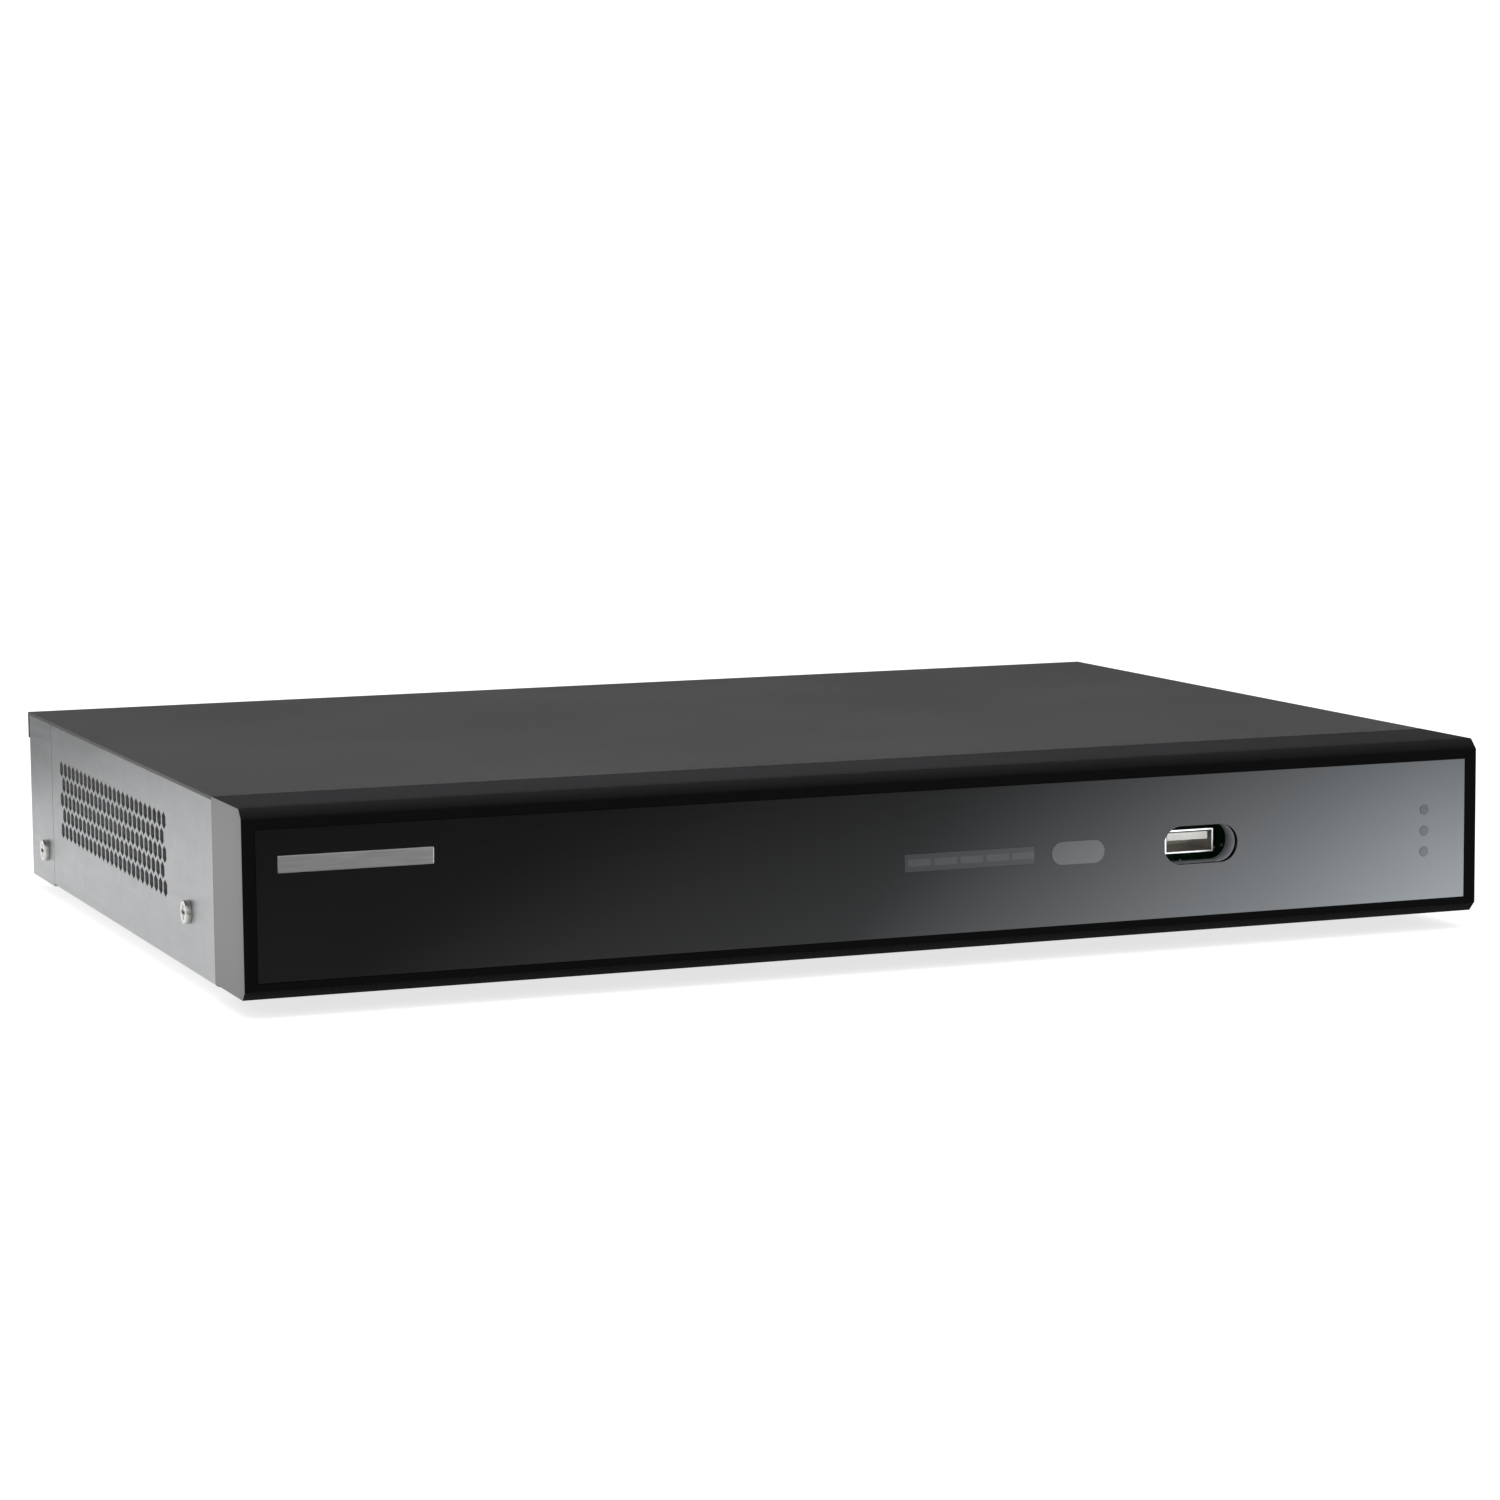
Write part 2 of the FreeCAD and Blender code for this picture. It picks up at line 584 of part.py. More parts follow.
def rear_panel():
    body = new_body("Panel")
    wall = "(side - gauge)"
    half = [("side", "wall_end + seam"), ("side", "rear")]
    inner = [(wall, "wall_end + seam"), (wall, "rear - gauge")]
    outline = half + [(f"-({x})", y) for x, y in reversed(half)]
    outline += [(f"-({x})", y) for x, y in inner] + inner[::-1]
    pad(body, "XY", ("under", "sill"), outline)
    shelf = "(side - lid_flange)"
    rim = [("side - gauge / 2", "wall_end + seam"), (shelf, "wall_end + seam"), (shelf, "rear - lid_flange")]
    rim = [("side - gauge / 2", "rear - gauge / 2")] + rim
    mirrored = [(f"-({x})", y) for x, y in reversed(rim)]
    pad(body, "XY", ("sill - gauge", "sill"), rim + mirrored)
    through = ("rear - gauge - 1", "rear + 1")
    for column in VIDEO_COLUMNS:
        for z in ("video_low", "video_high"):
            pocket(body, "XZ", through, (column, z, "barrel_root + slip"))
    for z in ("audio_low", "audio_high"):
        pocket(body, "XZ", through, ("audio_x", z, "4.3"))
    for x, half_width, z in (
        ("monitor_x", "8.6", about("monitor_z", "4.5")),
        ("display_x", "7.75", about("display_z", "3")),
        ("usb_x", "usb_width / 2 + 0.25", about("usb_z", "usb_tall / 2 + 0.25")),
        ("network_x", "8.15", ("board_top - 0.15", "board_top + 13.65")),
        ("switch_x", "9.6", about("switch_z", "6.5")),
        ("terminal_x", "9.3", ("board_top - 0.15", "board_top + 9.25")),
    ):
        pocket(body, "XZ", through, box(about(x, half_width), z))
    for sign in "-+":
        pocket(body, "XZ", through, (f"monitor_x {sign} monitor_nut", "monitor_z", "screw_hole"))
    pocket(body, "XZ", through, ("supply_x", "supply_z", "4.15"))
    pocket(body, "XZ", through, ("ground_x", "ground_z", "tapped"))
    for x, z in LIP_SCREWS:
        pocket(body, "XZ", through, (x, z, "tapped"))
    slot = box(about("rear_vent_inset - side", "1.25"), ("board_top + 16", "roof - 12"))
    vent = pocket(body, "XZ", through, slot)
    row = body.newObject("PartDesign::LinearPattern", "RearVents")
    row.Originals = [vent]
    row.Direction = (vent.Profile[0], ["H_Axis"])
    row.Occurrences = 9
    row.setExpression("Length", formula("8 * 5"))
    body.Tip = row
    doc.recompute()
    pocket(body, "YZ", about("0", "side + 1"), ("return_screw_y", "return_screw_z", "screw_hole"))
    side, back = value("side"), value("rear")

    def outer_bend(b):
        return flat(b.YMin, b.YMax, back) and abs(abs(b.XMin) - side) < 1e-4 and flat(b.XMin, b.XMax, b.XMin)

    dress(body, "Fillet", "bend", outer_bend)
    return sub_part("rear_panel", body)


def top_cover():
    body = new_body("Cover")
    pad(body, "XY", ("sill", "roof"), box(about("0", "side"), ("chassis + seam", "rear + gauge")))
    lip_z = ("roof - lip_height", "roof - gauge / 2")
    pad(body, "XZ", ("rear", "rear + gauge"), box(about("0", "side"), lip_z))
    tongue_top = "roof - bezel_wall - seam"
    near, far, tip = "chassis + seam", "chassis + seam + gauge", "chassis - tongue"
    step = [(near, "roof - gauge / 2"), (near, tongue_top), (tip, tongue_top)]
    step += [(tip, f"{tongue_top} - gauge"), (far, f"{tongue_top} - gauge"), (far, "roof - gauge / 2")]
    pad(body, "YZ", about("0", "side - 20"), step)
    lip = "(side - lid_flange - seam)"
    for sign in "-+":
        across = (f"{sign}({lip})", f"{sign}({lip} - gauge)")
        pad(body, "XY", ("sill - lid_lip", "roof - gauge / 2"), box(across, ("chassis + 12", "wall_end - 2")))
    for x, z in LIP_SCREWS:
        pocket(body, "XZ", ("rear - 1", "rear + gauge + 1"), (x, z, "screw_hole"))
    back, top = value("rear + gauge"), value("roof")
    dress(body, "Fillet", "bend / 2", lambda b: flat(b.YMin, b.YMax, back) and flat(b.ZMin, b.ZMax, top))
    return sub_part("top_cover", body)


def front_bezel():
    body = new_body("Bezel")
    low, face = "under + bezel_lift", "front + bezel_face"
    pad(body, "XZ", ("front", "chassis"), box(about("0", "side"), (low, "roof")))
    hollow = box(about("0", "side - bezel_wall"), (f"{low} + bezel_wall", "roof - bezel_wall"))
    pocket(body, "XZ", (face, "chassis + 1"), hollow)
    seat = box(about("0", "side - fascia_cheek"), ("fascia_low", "fascia_high"))
    pocket(body, "XZ", ("front - 1", "front + fascia_seat"), seat)
    ahead, half, ends = value("front"), value("side"), (value(low), value("roof"))

    def front_edge(b):
        level = any(flat(b.ZMin, b.ZMax, z) for z in ends)
        return flat(b.YMin, b.YMax, ahead) and b.XMax > half - 1 and level

    dress(body, "Chamfer", "bezel_chamfer", front_edge)
    for sign in "-+":
        arm = (f"{sign}({ARM_OUTER})", f"{sign}({ARM_OUTER} - bezel_wall)")
        pad(body, "XY", ARM, box(arm, ("chassis - 8", "arm_screw_y + 6")))
    for x, z in FRONT_BOARD_SCREWS:
        pad(body, "XZ", ("front + bezel_face - 0.5", "front_board_near"), (x, z, "3"))
        pocket(body, "XZ", (face, "front_board_near + 1"), (x, z, "tapped"))
    pocket(body, "YZ", about("0", "side - 0.9"), ("arm_screw_y", "arm_screw_z", "tapped"))
    whole = fuse(body, port_shape("port_wall", ("front + bezel_face - 0.5", "port_mouth")))
    through = ("front", "chassis")
    openings = [port_shape("0", ("front - 1", "chassis"))]
    openings.append(obround("window_length - 1.6", "window_tall - 1.6", through, "window_x", "line"))
    openings += [rod("y", "light_radius + slip", through, spot) for spot in LIGHT_SPOTS]
    return sub_part("front_bezel", cut(whole, *openings))


def port_shape(wall, y):
    """The front port's opening, grown all round by a wall."""
    return obround(f"port_length + 2 * {wall}", f"port_tall + 2 * {wall}", y, "port_x", "line")


LIGHT_SPOTS = [("light_x", f"under + light_rise + {k} * light_pitch") for k in range(3)]
FRONT_BOARD_X = ("front_board_left", "side - front_board_end")
FRONT_BOARD_Z = ("under + front_board_low", "under + front_board_low + front_board_tall")
FRONT_BOARD_SCREWS = [
    (x, z)
    for x in ("front_board_left + 4.5", "side - front_board_end - 4.5")
    for z in ("under + front_board_low + 3.6", "under + front_board_low + front_board_tall - 3.6")
]
VIDEO_COLUMNS = [f"side - barrel_inset - {k} * barrel_pitch" for k in range(4)]


def strip(length, tall, y, x, z):
    """A flat strip on the front."""
    return block(about(x, f"({length}) / 2"), y, about(z, f"({tall}) / 2"))


PLATE = ("plate_x", "under + plate_rise")
LEGEND = ("legend_x", "line")


def front_fascia():
    """A gloss panel in the bezel's seat, with shallow seats of its own for the strips on it."""
    fit = "0.15"
    sheet_piece = block(
        about("0", f"side - fascia_cheek - {fit}"),
        ("fascia_face", "front + fascia_seat"),
        (f"fascia_low + {fit}", f"fascia_high - {fit}"),
    )
    through = ("front - 1", "chassis")
    plate_y, legend_y = ("front - 1", "fascia_face + 0.3"), ("front - 1", "fascia_face + 0.2")
    tools = [port_shape("0", through)]
    tools.append(strip("plate_length + 0.1", "plate_tall + 0.1", plate_y, *PLATE))
    tools.append(strip("legend_length + 0.1", "legend_tall + 0.1", legend_y, *LEGEND))
    tools.append(obround("window_length + 0.1", "window_tall + 0.1", through, "window_x", "line"))
    tools += [rod("y", "light_radius + slip", through, spot) for spot in LIGHT_SPOTS]
    return sub_part("front_fascia", cut(sheet_piece, *tools))


def front_strips():
    plate = strip("plate_length", "plate_tall", ("front", "fascia_face + 0.3"), *PLATE)
    legend = strip("legend_length", "legend_tall", ("fascia_face", "fascia_face + 0.2"), *LEGEND)
    sub_part("nameplate", plate)
    sub_part("legend_plate", legend)


def ir_window():
    lens_y = ("fascia_face - 0.1", "front + fascia_seat")
    lens = obround("window_length", "window_tall", lens_y, "window_x", "line")
    plug_y = ("front + 1", "front + bezel_face")
    plug = obround("window_length - 1.8", "window_tall - 1.8", plug_y, "window_x", "line")
    return sub_part("ir_window", fuse(lens, plug))


def status_light_pipes():
    """Three clear rods joined by a rail behind the bezel's face."""
    span = ("fascia_face - 0.1", "front_board_near - 1.4")
    rods = [rod("y", "light_radius", span, spot) for spot in LIGHT_SPOTS]
    rail = block(
        about("light_x", "1.8"),
        ("front + bezel_face", "front + bezel_face + 1.5"),
        (f"{LIGHT_SPOTS[0][1]} - 2.4", f"{LIGHT_SPOTS[2][1]} + 2.4"),
    )
    return sub_part("status_light_pipes", fuse(rail, *rods))


def rubber_feet():
    feet = []
    for spot in FOOT_SPOTS:
        foot = cone("z", ("foot_radius - 0.6", "foot_radius"), ("0", "under"), spot)
        well = rod("z", "head_radius + 1", ("-1", "foot_well"), spot)
        feet.append(cut(foot, fuse(well, rod("z", "screw_hole", ("-1", "under + 1"), spot))))
    return sub_part("rubber_feet", group(*feet))


def underside_screws():
    """The feet's screws, seated in the feet, and the drive's, seated in the tray's embosses."""
    feet = [screw("z", "-", "foot_well", spot, "4.5") for spot in FOOT_SPOTS]
    drive = [screw("z", "-", "drive_low - gauge", spot, "5") for spot in DRIVE_SCREWS]
    return sub_part("underside_screws", group(*feet, *drive))


def side_screws():
    spots = (("arm_screw_y", "arm_screw_z"), ("return_screw_y", "return_screw_z"))
    screws = [screw("x", sign, f"{sign}side", spot, "3.6") for sign in "-+" for spot in spots]
    return sub_part("side_screws", group(*screws))


def cover_screws():
    screws = [screw("y", "+", "rear + gauge", spot, "4") for spot in LIP_SCREWS]
    return sub_part("cover_screws", group(*screws))


# ---------------------------------------------------------------------------------------------
# Front board
# ---------------------------------------------------------------------------------------------
def front_board():
    board = block(FRONT_BOARD_X, ("front_board_near", "front_board_far"), FRONT_BOARD_Z)
    through = ("front_board_near - 1", "front_board_far + 1")
    holes = [rod("y", "screw_hole", through, spot) for spot in FRONT_BOARD_SCREWS]
    return sub_part("front_board", cut(board, *holes))


def front_board_parts():
    near = "front_board_near"
    leds = [block(about(x, "1.6"), (f"{near} - 1.2", near), about(z, "1.2")) for x, z in LIGHT_SPOTS]
    shell = block(about("window_x", "3"), (f"{near} - 3", near), about("line", "3.4"))
    dome = rod("y", "2.2", (f"{near} - 4.6", f"{near} - 3"), ("window_x", "line"))
    return sub_part("leds_and_receiver", group(*leds, fuse(shell, dome)))


def usb_shell(x, z, y):
    """A folded shell round a bus socket, open at both ends."""
    outer = block(about(x, "usb_width / 2"), y, about(z, "usb_tall / 2"))
    hollow_y = (f"{y[0]} - 1", f"{y[1]} + 1")
    hollow = block(about(x, "usb_width / 2 - usb_wall"), hollow_y, about(z, "usb_tall / 2 - usb_wall"))
    return cut(outer, hollow)


def usb_insert(x, z, back, facing):
    """The moulded back of a bus socket and the tongue that carries its contacts."""
    toward = [f"{back} {facing} {reach}" for reach in ("0", "3", "(usb_length - 1)")]
    spans = [(toward[0], toward[1]), (toward[1], toward[2])]
    spans = [s if facing == "+" else s[::-1] for s in spans]
    half = "usb_width / 2 - usb_wall - 0.05"
    rear_block = block(about(x, half), spans[0], about(z, "usb_tall / 2 - usb_wall - 0.05"))
    tongue = block(about(x, "5.5"), spans[1], (f"{z} + 0.2", f"{z} + 2"))
    return fuse(rear_block, tongue)


def bus_sockets():
    front_y = ("port_mouth", "front_board_near")
    rear_y = ("rear + 0.6 - usb_length", "rear + 0.6")
    sub_part("usb_shells", group(usb_shell("port_x", "line", front_y), usb_shell("usb_x", "usb_z", rear_y)))
    inserts = usb_insert("port_x", "line", front_y[1], "-"), usb_insert("usb_x", "usb_z", rear_y[0], "+")
    return sub_part("usb_inserts", group(*inserts))


# ---------------------------------------------------------------------------------------------
# Main board and what stands on it
# ---------------------------------------------------------------------------------------------
def main_board():
    board = block(about("0", "board_half"), ("board_front", "board_rear"), ("board_low", "board_top"))
    holes = [rod("z", "screw_hole", ("board_low - 1", "board_top + 1"), spot) for spot in BOARD_SCREWS]
    return sub_part("main_board", cut(board, *holes))


def board_standoffs():
    posts = []
    for spot in BOARD_SCREWS:
        post = hexagon("z", "5.5", ("deck", "board_low"), spot)
        posts.append(cut(post, rod("z", "tapped", ("deck - 1", "board_low + 1"), spot)))
    return sub_part("board_standoffs", group(*posts))


def board_screws():
    screws = [screw("z", "+", "board_top", spot, "6") for spot in BOARD_SCREWS]
    screws += [screw("y", "+", "front_board_far", spot, "7") for spot in FRONT_BOARD_SCREWS]
    return sub_part("board_screws", group(*screws))


def on_board(x, from_front, length, width, tall, lift="0"):
    """A box on the board: centre x, distance behind the board's front edge, and its size."""
    y = about(f"board_front + {from_front}", f"({width}) / 2")
    return block(about(x, f"({length}) / 2"), y, (f"board_top + {lift}", f"board_top + {lift} + {tall}"))


def board_chips():
    """The processor stands apart, under its heat sink. These are the other chips."""
    chips = [on_board(x, y, "14", "11", "1.1") for x, y in (("28", "24"), ("28", "40"))]
    chips += [on_board(f"88 + {k} * 16", "46", "9", "9", "1") for k in range(4)]
    chips += [on_board("-14", "44", "10", "10", "1"), on_board("-40", "38", "12", "18", "1.1")]
    sub_part("processor", on_board("sink_x", "sink_y", "27", "27", "chip_tall"))
    return sub_part("board_chips", group(*chips))


def power_parts():
    """The supply's cans and its two square coils."""
    spots = [(f"-126 + {k} * 14", y, "4", "12") for k in range(3) for y in ("12", "28")]
    spots += [("-78", "14", "3.2", "8"), ("-78", "30", "3.2", "8"), ("-6", "24", "2.6", "6")]
    cans = []
    for x, y, radius, tall in spots:
        cans.append(rod("z", radius, ("board_top", f"board_top + {tall}"), (x, f"board_front + {y}")))
    coils = [on_board(f"-60 + {k} * 15", "56", "10", "10", "4") for k in range(2)]
    return sub_part("power_parts", group(*cans, *coils))


def heatsink():
    half = "sink_size / 2"
    body = new_body("Sink")
    across, along = about("sink_x", half), about("sink_mid", half)
    pad(body, "XY", ("chip_top", "chip_top + 2"), box(across, along))
    fin = box((across[0], f"{across[0]} + 1.2"), along)
    first = pad(body, "XY", ("chip_top + 1.5", "sink_top"), fin)
    fins = body.newObject("PartDesign::LinearPattern", "Fins")
    fins.Originals = [first]
    fins.Direction = (first.Profile[0], ["H_Axis"])
    fins.Occurrences = 9
    fins.setExpression("Length", formula("sink_size - 1.2"))
    body.Tip = fins
    doc.recompute()
    return sub_part("heatsink", body)


FAN_CORNERS = [
    (f"sink_x {a} (sink_size / 2 - 4)", f"sink_mid {b} (sink_size / 2 - 4)")
    for a in "-+"
    for b in "-+"
]


def fan_frame():
    """A square frame with a round bore, and a motor plate held on three spokes."""
    half, centre = "sink_size / 2", ("sink_x", "sink_mid")
    shell = block(about("sink_x", half), about("sink_mid", half), ("sink_top", "fan_top"))
    bore = rod("z", "fan_bore", ("sink_top - 1", "fan_top + 1"), centre)
    holes = [rod("z", "screw_hole", ("sink_top - 1", "fan_top + 1"), spot) for spot in FAN_CORNERS]
    plate_z = ("sink_top", "sink_top + 1.2")
    plate = rod("z", "fan_hub", plate_z, centre)
    spokes = [block(about("sink_x", "fan_bore + 0.3"), about("sink_mid", "1"), plate_z)]
    spokes.append(block(about("sink_x", "1"), about("sink_mid", "fan_bore + 0.3"), plate_z))
    bearing = rod("z", "3", ("sink_top", "fan_top - 3"), centre)
    whole = fuse(cut(shell, bore, *holes), plate, bearing, *spokes)
    pin_hole = rod("z", "fan_pin + slip", (plate_z[1], "fan_top"), centre)
    return sub_part("fan_frame", cut(whole, pin_hole))


def fan_rotor():
    """A cup with seven blades, turning on its shaft about Z."""
    centre = ("sink_x", "sink_mid")
    low, high = "sink_top + 1.8", "fan_top - 0.8"
    hollow = rod("z", "fan_hub - 1", (f"{low} - 1", f"{high} - 1"), centre)
    cup = cut(rod("z", "fan_hub", (low, high), centre), hollow)
    blades = []
    for k in range(7):
        angle = 360 / 7 * k
        blade = doc.addObject("Part::Box", "Blade")
        blade.setExpression("Length", formula("blade_reach - fan_hub + 0.6"))
        blade.setExpression("Width", formula("0.8"))
        blade.setExpression("Height", formula("(fan_tall - 3) / cos(35)"))
        turn = Rotation(Vector(0, 0, 1), angle).multiply(Rotation(Vector(1, 0, 0), 35))
        blade.Placement = Placement(Vector(), turn)
        for axis, place in (
            ("x", f"sink_x + (fan_hub - 0.6) * cos({angle})"),
            ("y", f"sink_mid + (fan_hub - 0.6) * sin({angle})"),
            ("z", low),
        ):
            blade.setExpression(f"Placement.Base.{axis}", formula(place))
        blades.append(blade)
    limit = tube("z", "blade_reach", "fan_hub - 0.5", (low, high), centre)
    swept = common(fuse(*blades), limit)
    pin = rod("z", "fan_pin", ("sink_top + 1.4", f"{high} - 0.5"), centre)
    return sub_part("fan_rotor", fuse(cup, swept, pin))


def coin_cell():
    centre = ("-30", "board_front + 12")
    ring = tube("z", "11", "10.2", ("board_top", "board_top + 3.6"), centre)
    base = rod("z", "11", ("board_top", "board_top + 0.8"), centre)
    sub_part("coin_cell_holder", fuse(ring, base))
    return sub_part("coin_cell", rod("z", "10", ("board_top + 0.8", "board_top + 4"), centre))


# Lead routes. Each lead is a tube or a ribbon along straight runs joined by tangent arcs.
def lead(name, route, bend, width, thick=None):
    """A round lead, or a ribbon that is width wide along X where it has a thickness."""
    points = [Vector(*map(value, spot)) for spot in route]
    radius = value(bend)
    edges, last = [], points[0]
    for before, corner, after in zip(points, points[1:], points[2:]):
        into, out = (corner - before).normalize(), (after - corner).normalize()
        turn = into.getAngle(out)
        back = radius * math.tan(turn / 2)
        start, end = corner - into * back, corner + out * back
        inward = (out - into).normalize()
        middle = corner + inward * (radius / math.cos(turn / 2) - radius)
        edges += [Part.LineSegment(last, start).toShape(), Part.Arc(start, middle, end).toShape()]
        last = end
    edges.append(Part.LineSegment(last, points[-1]).toShape())
    path = Part.Wire(edges)
    ahead = (points[1] - points[0]).normalize()
    if thick is None:
        section = Part.Wire(Part.Circle(points[0], ahead, value(width) / 2).toShape())
    else:
        across = Vector(value(width) / 2, 0, 0)
        up = across.cross(ahead).normalize() * value(thick) / 2
        corners = [points[0] + across * a + up * b for a, b in ((1, 1), (-1, 1), (-1, -1), (1, -1), (1, 1))]
        section = Part.makePolygon(corners)
    piece = doc.addObject("Part::Feature", name)
    piece.Shape = path.makePipeShell([section], True, True)
    return piece


def board_sockets():
    """Headers on the board for the drive's data and power, the front board and the fan."""
    data = on_board("data_x", "5", "12", "8", "6")
    power = on_board("power_x", "5", "11", "8", "6")
    ribbon = on_board("ribbon_x", "5", "ribbon_width + 5", "8", "5")
    fan = on_board("sink_x + 26", "sink_y", "5", "8", "6")
    front_y = ("front_board_far", "front_board_far + 3")
    front_header = block(about("ribbon_x", "ribbon_width / 2 + 2"), front_y, about("deck + 18", "2.5"))
    return sub_part("board_sockets", group(data, power, ribbon, fan, front_header))


def drive_leads():
    """The data and power leads, from the drive's end to the board's front edge."""
    plugs, leads = [], []
    plug_y = ("board_front - 11", "board_front + 1")
    for y, x, half in (("data_y", "data_x", "4.5"), ("power_y", "power_x", "5")):
        plugs.append(block(("drive_right", "plug_end"), about(y, half), about("lead_z", "2.6")))
        plugs.append(block(about(x, half), plug_y, about("lead_z", "2.6")))
        name, bend, width = ("data", "14", "3.6") if x == "data_x" else ("power", "6", "4")
        route = [("plug_end", y, "lead_z"), (x, y, "lead_z"), (x, plug_y[0], "lead_z")]
        leads.append(lead(f"{name}_lead", route, bend, width))
    sub_part("drive_leads", group(*leads))
    return sub_part("drive_plugs", group(*plugs))


def front_ribbon():
    low, high = "deck + 1.4", "board_top + 2.5"
    route = [("ribbon_x", "front_board_far + 3", "deck + 18"), ("ribbon_x", "chassis + 14", "deck + 18")]
    route += [("ribbon_x", "chassis + 32", low), ("ribbon_x", "board_front - 20", low)]
    route += [("ribbon_x", "board_front - 8", high), ("ribbon_x", "board_front + 1", high)]
    return sub_part("front_ribbon", lead("ribbon", route, "5", "ribbon_width", "0.9"))


def fan_lead():
    high, x = "sink_top + 3.5", "sink_x + 26"
    route = [("sink_x + sink_size / 2", "sink_mid", high), (x, "sink_mid", high)]
    route.append((x, "sink_mid", "board_top + 6"))
    return sub_part("fan_lead", lead("fan_wires", route, "3.5", "2.2"))


# ---------------------------------------------------------------------------------------------
# Hard drive. Its discs turn about the spindle, and its arms swing about their own pivot.
# ---------------------------------------------------------------------------------------------
DISC = ("spindle", "drive_mid")
PIVOT = ("pivot", "pivot_mid")
BOARD_Y = ("drive_near + 8", "drive_far - 8")
BOARD_X = ("drive_left + 22", "drive_right")


def hdd_casting():
    body = new_body("Casting")
    top = "(drive_high - 1.2)"
    pad(body, "XY", ("drive_low", top), box(("drive_left", "drive_right"), ("drive_near", "drive_far")))
    cavity = ("cavity_low", f"{top} + 1")
    pocket(body, "XY", cavity, (*DISC, "disc_radius + 0.7"))
    corner = [("spindle + 20", "drive_near + 4.5"), ("drive_right - 7.5", "drive_near + 4.5")]
    corner += [("drive_right - 7.5", "data_y - 12"), ("drive_right - 16", "data_y - 12")]
    corner += [("drive_right - 16", "drive_far - 20"), ("spindle + 54", "drive_far - 7")]
    corner += [("spindle + 20", "drive_far - 7")]
    pocket(body, "XY", cavity, corner)
    pocket(body, "XY", ("drive_low - 1", "drive_low + 2"), box(BOARD_X, BOARD_Y))
    socket_bay = box(("drive_right - 12", "drive_right"), BOARD_Y)
    pocket(body, "XY", ("drive_low - 1", "drive_low + 4.5"), socket_bay)
    plug_bay = box(("drive_right - 12", "drive_right + 1"), ("data_y - 8", "power_y + 8"))
    pocket(body, "XY", ("drive_low - 1", "lead_z + 2.6"), plug_bay)
    pad(body, "XY", ("cavity_low - 0.5", "upper_disc + disc_thick + 3"), (*PIVOT, "2.5"))
    pad(body, "XY", ("cavity_low - 0.5", "lower_disc - 1.2"), (*DISC, "9"))
    pad(body, "XY", ("cavity_low - 0.5", "upper_disc + disc_thick + 2"), (*DISC, "4"))
    for x, y in DRIVE_SCREWS:
        pocket(body, "XY", ("drive_low - 1", "drive_low + 6"), (x, y, "tapped"))
    for x, y in LID_SCREWS:
        pocket(body, "XY", (f"{top} - 5", f"{top} + 1"), (x, y, "1.05"))
    left, right = value("drive_left"), value("drive_right")

    def upright(b):
        ends = any(flat(b.XMin, b.XMax, x) for x in (left, right))
        sides = any(flat(b.YMin, b.YMax, value(y)) for y in ("drive_near", "drive_far"))
        return ends and sides

    dress(body, "Fillet", "2", upright)
    return sub_part("hdd_casting", body)


LID_SCREWS = [
    (x, y)
    for x in ("drive_left + 4.4", "drive_right - 4.4")
    for y in ("drive_near + 4.4", "drive_far - 4.4")
]


def hdd_lid():
    edge = "0.4"
    x, y = (f"drive_left + {edge}", f"drive_right - {edge}"), (f"drive_near + {edge}", f"drive_far - {edge}")
    plate = block(x, y, ("drive_high - 1.2", "drive_high - 0.6"))
    top = ("drive_high - 1", "drive_high")
    raised = block(about("(drive_left + drive_right) / 2", "62"), about("drive_mid", "42"), top)
    boss = rod("z", "8", top, DISC)
    holes = [rod("z", "1.3", ("drive_high - 2", "drive_high + 1"), spot) for spot in LID_SCREWS]
    screws = []
    for spot in LID_SCREWS:
        seat = "drive_high - 0.6"
        screws.append(screw("z", "+", seat, spot, "4", head="2", shank="1"))
    sub_part("hdd_lid_screws", group(*screws))
    return sub_part("hdd_lid", cut(fuse(plate, raised, boss), *holes))


def hdd_board():
    inset = "0.3"
    x = (f"{BOARD_X[0]} + {inset}", "drive_right - 0.3")
    y = (f"{BOARD_Y[0]} + {inset}", f"{BOARD_Y[1]} - {inset}")
    board = block(x, y, ("drive_low + 0.4", "drive_low + 1.6"))
    socket_y, socket_z = ("data_y - 7.5", "power_y + 7.5"), ("drive_low + 1.6", "lead_z + 2.4")
    socket = block(("drive_right - 11.5", "drive_right"), socket_y, socket_z)
    return sub_part("hdd_board", fuse(board, socket))


def hdd_discs():
    discs = [
        rod("z", "disc_radius", (low, f"{low} + disc_thick"), DISC) for low in ("lower_disc", "upper_disc")
    ]
    hub = rod("z", "12.5", ("lower_disc - 0.8", "upper_disc + disc_thick + 1.6"), DISC)
    bore = rod("z", "4 + slip", ("lower_disc - 2", "upper_disc + disc_thick + 0.4"), DISC)
    axle_end = rod("z", "4 + slip", ("lower_disc - 2", "upper_disc + disc_thick + 2.2"), DISC)
    return sub_part("hdd_discs", cut(fuse(hub, *discs), bore, axle_end))


def hdd_arms():
    """Three blades on one barrel, each with a head at its tip, and the coil on the far side."""
    low, high = "lower_disc - 1.8", "upper_disc + disc_thick + 2.7"
    barrel = tube("z", "7", "2.5 + slip", (low, high), PIVOT)
    levels = ("lower_disc - 0.9 - arm_thick / 2", "(lower_disc + upper_disc + disc_thick - arm_thick) / 2")
    levels += ("upper_disc + disc_thick + 1.2",)
    pieces = [barrel]
    for level in levels:
        pieces.append(swung("6", "arm_length", about("0", "1.6"), (level, f"{level} + arm_thick")))
    middle = levels[1]
    pieces.append(swung("-22", "-6", about("0", "7"), (f"{middle} - 0.3", f"{middle} + arm_thick + 0.3")))
    return sub_part("hdd_arms", fuse(*pieces))


